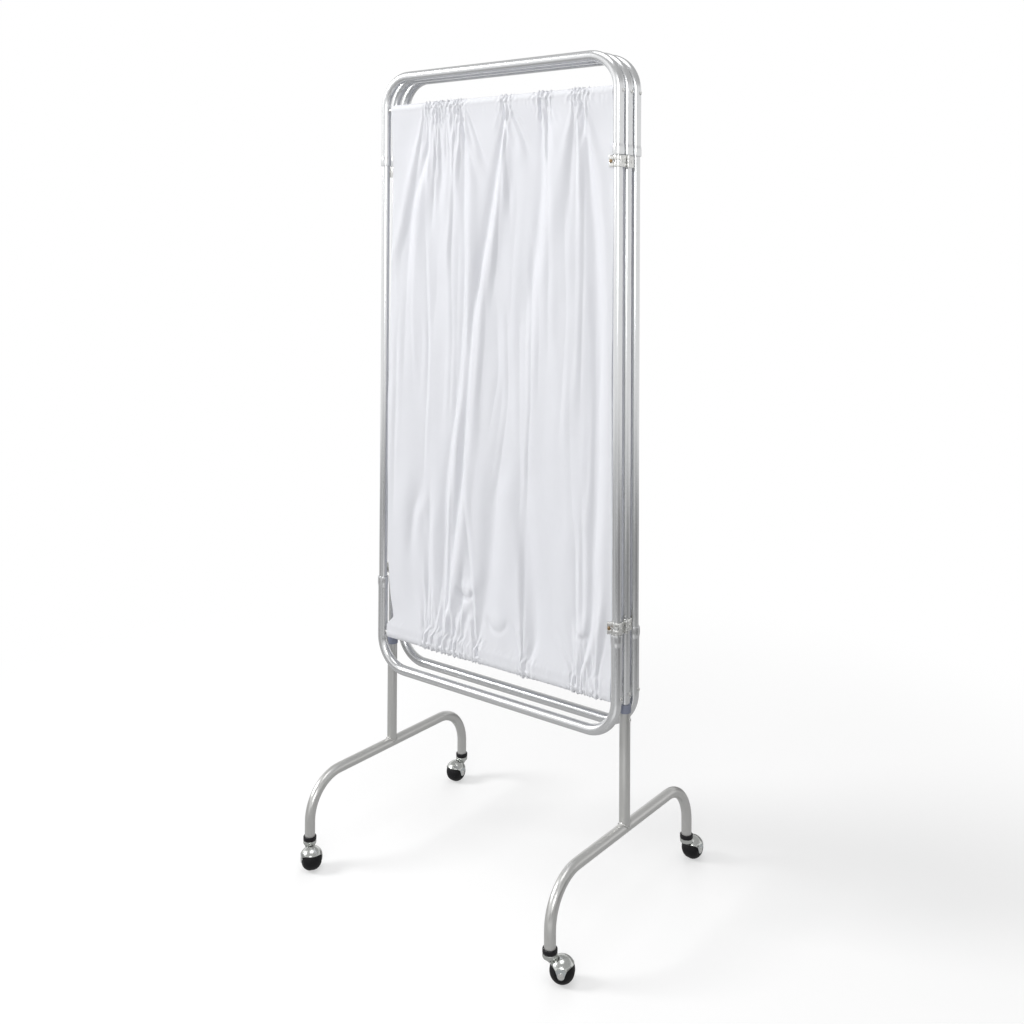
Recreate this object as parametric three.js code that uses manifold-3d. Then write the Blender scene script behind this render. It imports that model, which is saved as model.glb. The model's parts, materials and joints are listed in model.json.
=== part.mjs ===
// A ward privacy screen on wheels, shown folded: a middle frame on two arched feet, with a wing
// hinged to each side of it and a gathered curtain in every frame.
// Millimetres, +Z up, X along the panels, front wing towards -Y. The origin is on the floor at the
// middle of the screen's outline.

import * as THREE from 'three';
import { mergeVertices } from 'three/addons/utils/BufferGeometryUtils.js';
import Module from 'manifold-3d';

const wasm = await Module();
wasm.setup();

// Frames
const screenHeight = 1750;
const tubeSpacing = 645;
const frameSpacing = 33;
const bowDiameter = 22.2;
const sideDiameter = 19;
const tubeWall = 1.2;
const bowBendRadius = 70;
const topArmLength = 217;
const bottomArmLength = 216;
const wingUnderside = 357;
const socketDiameter = 24.6;
const socketLength = 25;
const socketShoulder = 5;
const tubeInsertion = 40;

// Base
const baseTubeDiameter = 22.2;
const footSpread = 512;
const footBarHeight = 177;
const footBendRadius = 85;
const legEndHeight = 54.8;
const postTopHeight = 408;
const postInsertion = 60;
const bushingDiameter = 25;
const bushingHeight = 17;
const bushingChamfer = 1.2;
const weldSize = 3.5;
const postScrewDrop = 13;

// Curtains and their rods
const topRodDrop = 75.9;
const bottomRodRise = 77.9;
const rodDiameter = 8;
const casingDepth = 22;
const headingDepth = 3;
const clothThickness = 1.6;
const curtainSideGap = 13.5;
const casingPucker = 1.6;
const foldDepth = 8.5;
const hemEdgeDepth = 2.6;

// Hinges: two strap clamps and a three-part knuckle on an outboard pin
const hingeLength = 24;
const strapThickness = 1.6;
const leafTail = 8;
const knuckleDiameter = 7.6;
const hingePinDiameter = 3.4;
const pinHeadDiameter = 5.2;
const pinHeadHeight = 1.1;
const earReach = 19;
const earAngle = (-140 * Math.PI) / 180;
const earSlit = 1.6;
const bandWindowHeight = 4;
const bandWindowWidth = 15;
const bandWindowAngle = (-58 * Math.PI) / 180;
const clampBoltDiameter = 4;
const clampNutSize = 7;
const clampNutHeight = 2.6;
const rivetDiameter = 3.2;
const rivetHeadDiameter = 6.2;
const rivetHeadHeight = 1.3;
const hingeSocketGap = 1;

// Pan-head screws in the rod ends and post tops
const screwDiameter = 4;
const screwHeadDiameter = 7.4;
const screwHeadHeight = 2;
const postScrewLength = 12;
const rodScrewBite = 2;

// Casters
const wheelDiameter = 47;
const wheelWidth = 39.6;
const treadWidth = 8;
const casterTrail = 23;
const axleDiameter = 6;
const axleEndRise = 0.9;
const hoodGap = 0.8;
const hoodWall = 1.1;
const hoodRimHeight = 36;
const tongueRootWidth = 33;
const tongueTopWidth = 24;
const tongueTopHeight = 33;
const tongueTipDiameter = 14;
const swivelDiameter = 28.4;
const swivelTopHeight = 52;
const swivelDepth = 10.5;
const swivelRimDepth = 6;
const swivelBaseDiameter = 19;
const neckWidth = 18;
const neckDepth = 7;
const stemDiameter = 7.8;
const stemTopHeight = 81.4;
const ferruleDiameter = 28.4;
const ferruleHeight = 8;
const ferruleChamfer = 1.2;
const ferruleSleeveDiameter = 17.2;
const ferruleSleeveLength = 30;

// Fits, shared by every piece
const seatGap = 0.3;
const runningGap = 0.5;
const cutOverrun = 2;
const weldTolerance = 0.0001;

// Numbers of facets
const tubeSides = 12;
const boreSides = 12;
const smallSides = 6;
const knuckleSides = 8;
const strapSides = 12;
const hoodSides = 12;
const bowBendSteps = 5;
const footBendSteps = 6;
const wheelSegments = 16;
const wheelProfileSteps = 2;
const curtainColumns = 28;

// Sizes that follow from the ones above
const bowRadius = bowDiameter / 2;
const sideRadius = sideDiameter / 2;
const halfSpacing = tubeSpacing / 2;
const topBarHeight = screenHeight - bowRadius;
const bottomBarHeight = wingUnderside + bowRadius;
const topSocketHeight = screenHeight - topArmLength;
const bottomSocketHeight = wingUnderside + bottomArmLength;
const topRodHeight = topBarHeight - topRodDrop;
const bottomRodHeight = bottomBarHeight + bottomRodRise;
const sideTubeTop = topSocketHeight + tubeInsertion;
const wingTubeBottom = bottomSocketHeight - tubeInsertion;
const middleTubeBottom = postTopHeight - postInsertion;
const seatRadius = sideRadius + seatGap;
const upperHingeHeight = topSocketHeight - hingeSocketGap - hingeLength / 2;
const lowerHingeHeight = bottomSocketHeight + hingeSocketGap + hingeLength / 2;
const strapInnerRadius = sideRadius + seatGap;
const strapOuterRadius = strapInnerRadius + strapThickness;
const pinOffset = strapInnerRadius + knuckleDiameter / 2;
const footReach = footSpread / 2;
const baseRadius = baseTubeDiameter / 2;
const wheelRadius = wheelDiameter / 2;
const axleHeight = wheelRadius;

const zAxis = new THREE.Vector3(0, 0, 1);

// Materials, one for each mesh that uses it
function finish(color, metalness, roughness) {
  return new THREE.MeshStandardMaterial({ color, metalness, roughness });
}
const finishes = {
  frameAluminium: () => finish(0xc9c9c8, 0.9, 0.32),
  paintedBase: () => finish(0xafafaf, 0.3, 0.45),
  zincPlate: () => finish(0xb4b3a6, 0.9, 0.35),
  chrome: () => finish(0xd6d8d8, 1, 0.12),
  blackPlastic: () => finish(0x1c1a1f, 0, 0.5),
  greyPlastic: () => finish(0x74798a, 0, 0.5),
  wheelRubber: () => finish(0x26272a, 0, 0.6),
  whiteVinyl: () => finish(0xebebef, 0, 0.4),
};

// Joining and cutting of closed solids
function solidFrom(geometry) {
  const bare = geometry.clone();
  bare.deleteAttribute('normal');
  bare.deleteAttribute('uv');
  const welded = mergeVertices(bare, weldTolerance);
  return new wasm.Manifold(new wasm.Mesh({
    numProp: 3,
    vertProperties: Float32Array.from(welded.attributes.position.array),
    triVerts: Uint32Array.from(welded.index.array),
  }));
}

function geometryFrom(solid) {
  const mesh = solid.getMesh();
  const geometry = new THREE.BufferGeometry();
  geometry.setAttribute('position', new THREE.BufferAttribute(mesh.vertProperties, 3));
  geometry.setIndex(new THREE.BufferAttribute(mesh.triVerts, 1));
  const flat = geometry.toNonIndexed();
  flat.computeVertexNormals();
  return flat;
}

function combine(method, first, others) {
  let solid = solidFrom(first);
  for (const other of others) solid = solid[method](solidFrom(other));
  return geometryFrom(solid);
}
const join = (first, ...others) => combine('add', first, others);
const cut = (first, ...others) => combine('subtract', first, others);
const keepCommon = (first, ...others) => combine('intersect', first, others);

// Basic solids; a bore has its flats, not its corners, at the named radius
function rod(radius, bottom, top, sides = smallSides) {
  const geometry = new THREE.CylinderGeometry(radius, radius, top - bottom, sides);
  geometry.rotateX(Math.PI / 2);
  geometry.translate(0, 0, (top + bottom) / 2);
  return geometry;
}

function bore(radius, bottom, top, sides = boreSides) {
  return rod(radius / Math.cos(Math.PI / sides), bottom, top, sides);
}

function block(x, y, z) {
  const geometry = new THREE.BoxGeometry(x[1] - x[0], y[1] - y[0], z[1] - z[0]);
  geometry.translate((x[0] + x[1]) / 2, (y[0] + y[1]) / 2, (z[0] + z[1]) / 2);
  return geometry;
}

function revolve(profile, sides) {
  const points = profile.map(([radius, height]) => new THREE.Vector2(radius, height));
  const geometry = new THREE.LatheGeometry(points, sides);
  geometry.rotateX(Math.PI / 2);
  return geometry;
}

function alongX(geometry) {
  return geometry.rotateY(Math.PI / 2);
}

function alongY(geometry) {
  return geometry.rotateX(-Math.PI / 2);
}

// A bent tube's run: a point and a direction at each station, so straights take one step
class BentRun extends THREE.Curve {
  constructor(stations) {
    super();
    this.stations = stations;
  }

  stationAt(share) {
    return this.stations[Math.round(share * (this.stations.length - 1))];
  }

  getPointAt(share) {
    return this.stationAt(share).point.clone();
  }

  getTangentAt(share) {
    return this.stationAt(share).tangent.clone();
  }
}

// Stations of an arch in the plane of Y and Z, from one foot over the bar to the other
function archStations(span, bottom, barHeight, bendRadius, bendSteps) {
  const stations = [];
  const place = (y, z, angle) => stations.push({
    point: new THREE.Vector3(0, y, z),
    tangent: new THREE.Vector3(0, Math.sin(angle), Math.cos(angle)),
  });
  place(-span / 2, bottom, 0);
  for (let step = 0; step <= bendSteps; step += 1) {
    const angle = (step / bendSteps) * (Math.PI / 2);
    const y = -span / 2 + bendRadius * (1 - Math.cos(angle));
    place(y, barHeight - bendRadius * (1 - Math.sin(angle)), angle);
  }
  for (let step = 0; step <= bendSteps; step += 1) {
    const angle = (Math.PI / 2) * (1 + step / bendSteps);
    const y = span / 2 - bendRadius * (1 + Math.cos(angle));
    place(y, barHeight - bendRadius * (1 - Math.sin(angle)), angle);
  }
  place(span / 2, bottom, Math.PI);
  return stations;
}

function arch(radius, span, bottom, barHeight, bendRadius, bendSteps) {
  const corners = [];
  for (let side = 0; side < tubeSides; side += 1) {
    const angle = (2 * Math.PI * side) / tubeSides;
    corners.push(new THREE.Vector2(radius * Math.cos(angle), radius * Math.sin(angle)));
  }
  const stations = archStations(span, bottom, barHeight, bendRadius, bendSteps);
  return new THREE.ExtrudeGeometry(new THREE.Shape(corners), {
    steps: stations.length - 1,
    extrudePath: new BentRun(stations),
  });
}

// The belled socket at the end of a bow's arm, open end down at height zero
function socketBell() {
  const bellRadius = socketDiameter / 2;
  return revolve([
    [0, 0],
    [bellRadius, 0],
    [bellRadius, socketLength - socketShoulder],
    [bowRadius - tubeWall, socketLength],
    [0, socketLength],
  ], tubeSides);
}

// A bow with belled, bored ends; its arms run from endHeight up to the bar
function socketedBow(endHeight, barHeight, rodHeight) {
  let bow = arch(bowRadius, tubeSpacing, endHeight, barHeight, bowBendRadius, bowBendSteps);
  bow.rotateZ(Math.PI / 2);
  const seatTop = endHeight + tubeInsertion + seatGap;
  for (const side of [-1, 1]) {
    const x = side * halfSpacing;
    bow = join(bow, socketBell().translate(x, 0, endHeight));
    const seat = bore(seatRadius, endHeight - cutOverrun, seatTop);
    bow = cut(bow, seat.translate(x, 0, 0));
  }
  return cut(bow, ...rodScrewHoles(rodHeight));
}

function rodScrewHoles(height) {
  const reach = bowRadius + cutOverrun;
  return [-1, 1].map((side) => {
    const hole = alongX(bore(screwDiameter / 2 + seatGap, -reach, reach, smallSides));
    return hole.translate(side * halfSpacing, 0, height);
  });
}

function topBow() {
  return socketedBow(topSocketHeight, topBarHeight, topRodHeight);
}

// The bottom bow is the same form hung upside down, so it is made inverted and turned over
function bottomBow() {
  const bow = socketedBow(-bottomSocketHeight, -bottomBarHeight, -bottomRodHeight);
  return bow.rotateX(Math.PI);
}

// A straight side tube; outerHoles take a rivet or screw through the outer wall only, and a
// throughHole takes the end of a curtain rod
function sideTube(bottom, top, outerHoles, throughHole) {
  const tube = rod(sideRadius, bottom, top, tubeSides);
  const inside = bore(sideRadius - tubeWall, bottom - cutOverrun, top + cutOverrun);
  const reach = sideRadius + cutOverrun;
  const holes = outerHoles.map(([diameter, height]) => (
    alongX(bore(diameter / 2 + seatGap, 0, reach, smallSides)).translate(0, 0, height)
  ));
  if (throughHole) {
    const hole = alongX(bore(screwDiameter / 2 + seatGap, -reach, reach, smallSides));
    holes.push(hole.translate(0, 0, throughHole));
  }
  return cut(tube, inside, ...holes);
}

// Pan-head screw along +Z: head above height zero, shank below it
function panScrew(shankLength) {
  const headRadius = screwHeadDiameter / 2;
  return revolve([
    [0, -shankLength],
    [screwDiameter / 2, -shankLength],
    [screwDiameter / 2, 0],
    [headRadius, 0],
    [headRadius, screwHeadHeight / 2],
    [headRadius / 2, screwHeadHeight],
    [0, screwHeadHeight],
  ], smallSides);
}

function outwardScrew(side, seatRadiusAt, shankLength, height) {
  const screw = alongX(panScrew(shankLength));
  screw.translate(halfSpacing + seatRadiusAt + seatGap, 0, height);
  return side > 0 ? screw : screw.rotateZ(Math.PI);
}

// Curtain rod with the pan-head screws that hold its ends to the tubes on either side; tubeRadius
// is that of the tubes at its height
function curtainRod(height, tubeRadius) {
  const reach = halfSpacing - tubeRadius - seatGap;
  const bar = alongX(rod(rodDiameter / 2, -reach, reach)).translate(0, 0, height);
  const shankLength = 2 * (tubeRadius + seatGap) + rodScrewBite;
  return join(
    bar,
    outwardScrew(1, tubeRadius, shankLength, height),
    outwardScrew(-1, tubeRadius, shankLength, height),
  );
}

// Curtains: folds run up the cloth and are drawn in at the two casings. A fold's wave is the sum of
// three, each with its count, share, lean and turn.
const foldCounts = [5, 8, 13];
const foldShares = [0.5, 0.32, 0.18];
const foldLeans = [0.35, -0.5, 0.8];
const fieldRowShares = [0.3, 0.7];
const lowestFoldShare = 0.04;
const highestFoldShare = 0.96;
const borderPuckerShare = 0.5;
const edgeFlatColumns = 3;
const puckerCount = 13;
const frontFoldPhase = 0.4;
const middleFoldPhase = 1.1;
const rearFoldPhase = 2.3;

function foldOffset(across, up, phase) {
  const drawn = Math.sin(Math.PI * up);
  const fromEdge = Math.min(across, 1 - across) * curtainColumns;
  const edgeShare = Math.min(1, fromEdge / edgeFlatColumns);
  let wave = 0;
  foldCounts.forEach((count, index) => {
    const turn = count * across + foldLeans[index] * (up - 1 / 2);
    wave += foldShares[index] * Math.sin(2 * Math.PI * turn + phase * (index + 1));
  });
  return wave * foldDepth * Math.sqrt(drawn) * edgeShare;
}

// Rows up the curtain: its height, half thickness, share of the way up between the casings, and
// how much of the casing's puckering it takes
function curtainRows() {
  const tunnel = rodDiameter / 2 + seatGap + clothThickness;
  const edge = hemEdgeDepth / 2;
  const thin = clothThickness / 2;
  const rows = [];
  rows.push([bottomRodHeight - tunnel - headingDepth, edge, 0, 1]);
  rows.push([bottomRodHeight - tunnel / 2, tunnel, 0, 1]);
  rows.push([bottomRodHeight + tunnel / 2, tunnel, 0, 1]);
  rows.push([bottomRodHeight + casingDepth, thin, lowestFoldShare, borderPuckerShare]);
  for (const share of fieldRowShares) {
    const fieldHeight = topRodHeight - bottomRodHeight - 2 * casingDepth;
    rows.push([bottomRodHeight + casingDepth + share * fieldHeight, thin, share, 0]);
  }
  rows.push([topRodHeight - casingDepth, thin, highestFoldShare, borderPuckerShare]);
  rows.push([topRodHeight - tunnel / 2, tunnel, 1, 1]);
  rows.push([topRodHeight + tunnel / 2, tunnel, 1, 1]);
  rows.push([topRodHeight + tunnel + headingDepth, edge, 1, 1]);
  return rows;
}

function curtain(phase) {
  const width = tubeSpacing - 2 * curtainSideGap;
  const rows = curtainRows();
  const positions = [];
  const indices = [];
  for (const face of [-1, 1]) {
    for (const [height, half, up, pucker] of rows) {
      for (let column = 0; column <= curtainColumns; column += 1) {
        const across = column / curtainColumns;
        const ripple = Math.cos(2 * Math.PI * puckerCount * across + phase);
        const y = foldOffset(across, up, phase) + face * half;
        const z = height + pucker * casingPucker * ripple * (half > clothThickness ? 0 : 1);
        positions.push((across - 1 / 2) * width, y, z);
      }
    }
  }
  const stride = curtainColumns + 1;
  const backStart = rows.length * stride;
  const quad = (a, b, c, d) => indices.push(a, b, c, a, c, d);
  for (let row = 0; row < rows.length - 1; row += 1) {
    for (let column = 0; column < curtainColumns; column += 1) {
      const start = row * stride + column;
      quad(start, start + 1, start + stride + 1, start + stride);
      const back = backStart + start;
      quad(back, back + stride, back + stride + 1, back + 1);
    }
    const left = row * stride;
    const right = left + curtainColumns;
    quad(left, left + stride, backStart + left + stride, backStart + left);
    quad(right, backStart + right, backStart + right + stride, right + stride);
  }
  for (let column = 0; column < curtainColumns; column += 1) {
    const low = column;
    const high = (rows.length - 1) * stride + column;
    quad(low, backStart + low, backStart + low + 1, low + 1);
    quad(high, high + 1, backStart + high + 1, backStart + high);
  }
  const geometry = new THREE.BufferGeometry();
  geometry.setAttribute('position', new THREE.Float32BufferAttribute(positions, 3));
  geometry.setIndex(indices);
  const tunnelRadius = (rodDiameter / 2) * Math.cos(Math.PI / smallSides) + seatGap;
  const reach = tubeSpacing / 2;
  const tunnels = [bottomRodHeight, topRodHeight].map((height) => (
    alongX(bore(tunnelRadius, -reach, reach, smallSides)).translate(0, 0, height)
  ));
  return cut(geometry, ...tunnels);
}

// A hinge leaf about its own tube's axis: a plate on the tube's outer side, a strap round the tube
// with bolted ears, and its share of the knuckle, whose pin lies towards +Y
function hingeLeaf(ownsMiddleKnuckle) {
  const half = hingeLength / 2;
  const split = half / 3;
  const pinY = frameSpacing / 2;
  const ownBands = ownsMiddleKnuckle ? [[-split, split]] : [[-half, -split], [split, half]];
  const otherBands = ownsMiddleKnuckle ? [[-half, -split], [split, half]] : [[-split, split]];
  const atPin = (geometry) => geometry.translate(pinOffset, pinY, 0);
  const over = half + cutOverrun;
  let leaf = join(
    rod(strapOuterRadius, -half, half, strapSides),
    block([strapInnerRadius, strapOuterRadius], [-leafTail, pinY], [-half, half]),
    clampEars(half),
  );
  const knuckleClearance = knuckleDiameter / 2 + runningGap;
  for (const [low, high] of otherBands) {
    const bottom = low - (low > -half ? seatGap / 2 : cutOverrun);
    const top = high + (high < half ? seatGap / 2 : cutOverrun);
    leaf = cut(leaf, atPin(bore(knuckleClearance, bottom, top, knuckleSides)));
  }
  for (const [low, high] of ownBands) {
    const bottom = low + (low > -half ? seatGap / 2 : 0);
    const top = high - (high < half ? seatGap / 2 : 0);
    leaf = join(leaf, atPin(rod(knuckleDiameter / 2, bottom, top, knuckleSides)));
  }
  if (!ownsMiddleKnuckle) leaf = cut(leaf, bandWindow());
  leaf = cut(
    leaf,
    bore(strapInnerRadius, -over, over, strapSides),
    earSlitCut(over),
    atPin(bore(hingePinDiameter / 2 + seatGap, -over, over, smallSides)),
  );
  return join(leaf, clampBolt(), hingeRivet());
}

function clampEars(half) {
  const width = earSlit + 2 * strapThickness;
  const ears = block([sideRadius, earReach], [-width / 2, width / 2], [-half, half]);
  return ears.rotateZ(earAngle);
}

function earSlitCut(over) {
  const half = earSlit / 2;
  const slit = block([sideRadius / 2, earReach + cutOverrun], [-half, half], [-over, over]);
  return slit.rotateZ(earAngle);
}

// The window parts the strap into an upper and a lower band on the side away from the knuckle
function bandWindow() {
  const half = bandWindowHeight / 2;
  const side = bandWindowWidth / 2;
  const reach = strapOuterRadius + cutOverrun;
  const window = block([sideRadius / 2, reach], [-side, side], [-half, half]);
  return window.rotateZ(bandWindowAngle);
}

// The clamp's bolt: shank through the ears, a round head on one side and a hexagon nut on the other
function clampBolt() {
  const seat = earSlit / 2 + strapThickness / 2;
  const rise = strapThickness / 2 + clampNutHeight;
  const shank = rod(clampBoltDiameter / 2, -seat - rise - strapThickness, seat);
  const cap = rod(clampNutSize / 2, seat, seat + rise, knuckleSides);
  const nut = rod(clampNutSize / 2, -seat - rise, -seat);
  const bolt = alongY(join(shank, cap, nut));
  return bolt.translate((strapOuterRadius + earReach) / 2, 0, 0).rotateZ(earAngle);
}

// The rivet that fixes the leaf to its tube: a low head on the plate, a shank through the wall
function hingeRivet() {
  const inner = sideRadius - tubeWall - rivetHeadHeight;
  const headRadius = rivetHeadDiameter / 2;
  return alongX(revolve([
    [0, inner],
    [rivetDiameter / 2, inner],
    [rivetDiameter / 2, strapInnerRadius + strapThickness / 2],
    [headRadius, strapInnerRadius + strapThickness / 2],
    [headRadius, strapOuterRadius + rivetHeadHeight / 2],
    [headRadius / 2, strapOuterRadius + rivetHeadHeight],
    [0, strapOuterRadius + rivetHeadHeight],
  ], smallSides));
}

// The pin is held by heads above and below the knuckle
function hingePin() {
  const half = hingeLength / 2 + seatGap;
  const headRadius = pinHeadDiameter / 2;
  return revolve([
    [0, -half - pinHeadHeight],
    [headRadius, -half - pinHeadHeight],
    [headRadius, -half],
    [hingePinDiameter / 2, -half],
    [hingePinDiameter / 2, half],
    [headRadius, half],
    [headRadius / 2, half + pinHeadHeight],
    [0, half + pinHeadHeight],
  ], smallSides);
}

// Hinge pieces at both heights of a wing's tube, which stands one frame spacing in front of the
// middle frame's tube, and their partners on that tube
const hingeHeights = [lowerHingeHeight, upperHingeHeight];

function atWingTube(geometry, height) {
  return geometry.translate(halfSpacing, -frameSpacing, height);
}

function atMiddleTube(geometry, height) {
  return geometry.rotateX(Math.PI).translate(halfSpacing, 0, height);
}

// Where a wing's hinge pins stand, seen from its tube
function atWingPin(geometry, height) {
  return atWingTube(geometry.translate(pinOffset, frameSpacing / 2, 0), height);
}

// Base: a post stands on an arched foot and takes the middle frame's side tube
function post() {
  const footTop = footBarHeight + baseRadius;
  const column = join(
    rod(baseRadius, footBarHeight, postTopHeight, tubeSides),
    revolve([
      [0, footBarHeight],
      [baseRadius + weldSize, footBarHeight],
      [baseRadius + weldSize, footTop - weldSize],
      [baseRadius, footTop + weldSize],
      [0, footTop + weldSize],
    ], tubeSides),
  );
  const footClearance = alongY(rod(baseRadius + seatGap, -footReach, footReach, 2 * tubeSides));
  const below = block(
    [-baseTubeDiameter, baseTubeDiameter],
    [-baseTubeDiameter, baseTubeDiameter],
    [footBarHeight - baseTubeDiameter, footBarHeight + baseRadius / 2],
  );
  const inside = bore(seatRadius, footTop + weldSize, postTopHeight + cutOverrun);
  const screwHole = alongX(bore(screwDiameter / 2 + seatGap, 0, baseRadius + cutOverrun, smallSides));
  return cut(
    column,
    footClearance.translate(0, 0, footBarHeight),
    below,
    inside,
    screwHole.translate(0, 0, postTopHeight - postScrewDrop),
  );
}

function footBow() {
  const bow = arch(
    baseRadius, footSpread, legEndHeight, footBarHeight, footBendRadius, footBendSteps,
  );
  const sleeve = ferruleSleeveDiameter / 2 + seatGap;
  const seatTop = legEndHeight + ferruleSleeveLength + seatGap;
  const seats = [-1, 1].map((end) => (
    bore(sleeve, legEndHeight - cutOverrun, seatTop).translate(0, end * footReach, 0)
  ));
  return cut(bow, ...seats);
}

// Plastic bushing round the side tube where it enters the post
function postBushing() {
  const outer = bushingDiameter / 2;
  const inner = (sideRadius + seatGap) / Math.cos(Math.PI / tubeSides);
  const bottom = postTopHeight + seatGap;
  const top = bottom + bushingHeight;
  return revolve([
    [inner, bottom],
    [outer, bottom],
    [outer, top - bushingChamfer],
    [outer - bushingChamfer, top],
    [inner, top],
    [inner, bottom],
  ], tubeSides);
}

function postScrew(side) {
  return outwardScrew(side, baseRadius, postScrewLength, postTopHeight - postScrewDrop);
}

// Caster socket: a ferrule outside the leg's end and a sleeve inside it, bored for the stem
function casterSocket() {
  const bottom = swivelTopHeight + seatGap;
  const outer = ferruleDiameter / 2;
  const legSeat = (baseRadius + seatGap) / Math.cos(Math.PI / tubeSides);
  const stemBore = (stemDiameter / 2 + seatGap) / Math.cos(Math.PI / tubeSides);
  const sleeve = ferruleSleeveDiameter / 2;
  const seat = legEndHeight - seatGap;
  const top = bottom + ferruleHeight;
  return revolve([
    [stemBore, bottom],
    [outer - ferruleChamfer, bottom],
    [outer, bottom + ferruleChamfer],
    [outer, top - ferruleChamfer],
    [outer - ferruleChamfer, top],
    [legSeat, top],
    [legSeat, seat],
    [sleeve, seat],
    [sleeve, seat + ferruleSleeveLength],
    [stemBore, seat + ferruleSleeveLength],
    [stemBore, bottom],
  ], tubeSides);
}

// Caster hood: a shell of the ball's own form over it, cut level above the axle and run down both
// flat sides in tapered tongues to the axle, with the swivel cup and the stem beside it. The stem's
// axis is the hood's own axis.
function hoodOutline() {
  const outer = wheelRadius + hoodGap + hoodWall + cutOverrun;
  const tipRadius = tongueTipDiameter / 2;
  const outline = new THREE.Shape();
  outline.moveTo(-outer, hoodRimHeight);
  outline.lineTo(-tongueRootWidth / 2, hoodRimHeight);
  outline.lineTo(-tongueTopWidth / 2, tongueTopHeight);
  outline.lineTo(-tipRadius, axleHeight);
  outline.absarc(0, axleHeight, tipRadius, Math.PI, 2 * Math.PI, false);
  outline.lineTo(tongueTopWidth / 2, tongueTopHeight);
  outline.lineTo(tongueRootWidth / 2, hoodRimHeight);
  outline.lineTo(outer, hoodRimHeight);
  outline.lineTo(outer, axleHeight + outer);
  outline.lineTo(-outer, axleHeight + outer);
  outline.closePath();
  const through = new THREE.ExtrudeGeometry(outline, {
    depth: 2 * outer, bevelEnabled: false, curveSegments: 2,
  });
  return through.translate(casterTrail, 0, -outer).rotateX(Math.PI / 2);
}

// Side view of the neck: from under the cup down to the hood's rim on the stem's side
function hoodNeck() {
  const rimStart = casterTrail - wheelRadius - hoodGap;
  const cupBottom = swivelTopHeight - swivelDepth;
  const outline = new THREE.Shape();
  outline.moveTo(-swivelBaseDiameter / 2, cupBottom);
  outline.lineTo(rimStart, hoodRimHeight - hoodWall);
  outline.lineTo(rimStart + neckDepth, hoodRimHeight);
  outline.lineTo(rimStart + neckDepth, cupBottom + hoodWall);
  outline.lineTo(-swivelBaseDiameter / 2, cupBottom + hoodWall);
  outline.closePath();
  const plate = new THREE.ExtrudeGeometry(outline, { depth: neckWidth, bevelEnabled: false });
  return plate.translate(0, 0, -neckWidth / 2).rotateX(Math.PI / 2);
}

function swivelCup() {
  const bottom = swivelTopHeight - swivelDepth;
  return revolve([
    [0, bottom],
    [swivelBaseDiameter / 2, bottom],
    [swivelDiameter / 2, swivelTopHeight - swivelRimDepth],
    [swivelDiameter / 2, swivelTopHeight],
    [stemDiameter / 2, swivelTopHeight],
    [stemDiameter / 2, stemTopHeight],
    [0, stemTopHeight],
  ], hoodSides);
}

function casterHood() {
  const cover = keepCommon(atAxle(revolveBall(hoodGap + hoodWall, 0)), hoodOutline());
  const reach = wheelWidth;
  const axleHole = alongY(bore(axleDiameter / 2 + seatGap, -reach, reach, smallSides));
  return cut(
    join(cover, swivelCup(), hoodNeck()),
    atAxle(revolveBall(hoodGap, 0)),
    atAxle(axleHole),
  );
}

function casterAxle() {
  const half = wheelWidth / 2 + hoodGap + hoodWall;
  const radius = axleDiameter / 2;
  const pin = revolve([
    [0, -half - axleEndRise],
    [radius / 2, -half - axleEndRise],
    [radius, -half],
    [radius, half],
    [radius / 2, half + axleEndRise],
    [0, half + axleEndRise],
  ], smallSides);
  return atAxle(alongY(pin));
}

// Ball wheel: round in both directions, with flat sides, a bore, and a narrow flat tread whose
// lowest facet lies level on the floor. Grown by a gap, and without its bore, the same form is the
// space that the wheel needs in its hood.
function atAxle(geometry) {
  return geometry.translate(casterTrail, 0, axleHeight);
}

function revolveBall(gap, hubRadius) {
  const half = wheelWidth / 2 + gap;
  const radius = wheelRadius + gap;
  const reach = radius / Math.cos(Math.PI / wheelSegments);
  const treadHalf = treadWidth / 2;
  const flatRadius = Math.sqrt(radius ** 2 - half ** 2);
  const sideTurn = Math.acos(flatRadius / radius);
  const shoulders = [];
  for (let step = 1; step <= wheelProfileSteps; step += 1) {
    const turn = (step / wheelProfileSteps) * sideTurn;
    const offset = treadHalf + (half - treadHalf) * (Math.sin(turn) / Math.sin(sideTurn));
    shoulders.push([reach * Math.cos(turn), offset]);
  }
  const left = shoulders.map(([rim, offset]) => [rim, -offset]).reverse();
  const profile = [[hubRadius, -half], ...left, [reach, -treadHalf], [reach, treadHalf]];
  profile.push(...shoulders, [hubRadius, half]);
  if (hubRadius > 0) profile.push([hubRadius, -half]);
  return alongY(revolve(profile, wheelSegments).rotateZ(Math.PI / wheelSegments));
}

function ballWheel() {
  const hubRadius = (axleDiameter / 2 + seatGap) / Math.cos(Math.PI / wheelSegments);
  return atAxle(revolveBall(0, hubRadius));
}

// Assembly
const screen = new THREE.Group();

function addPiece(parent, name, geometry, material) {
  const mesh = new THREE.Mesh(geometry, material());
  mesh.name = name;
  parent.add(mesh);
  return mesh;
}

const levels = ['lower', 'upper'];

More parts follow.
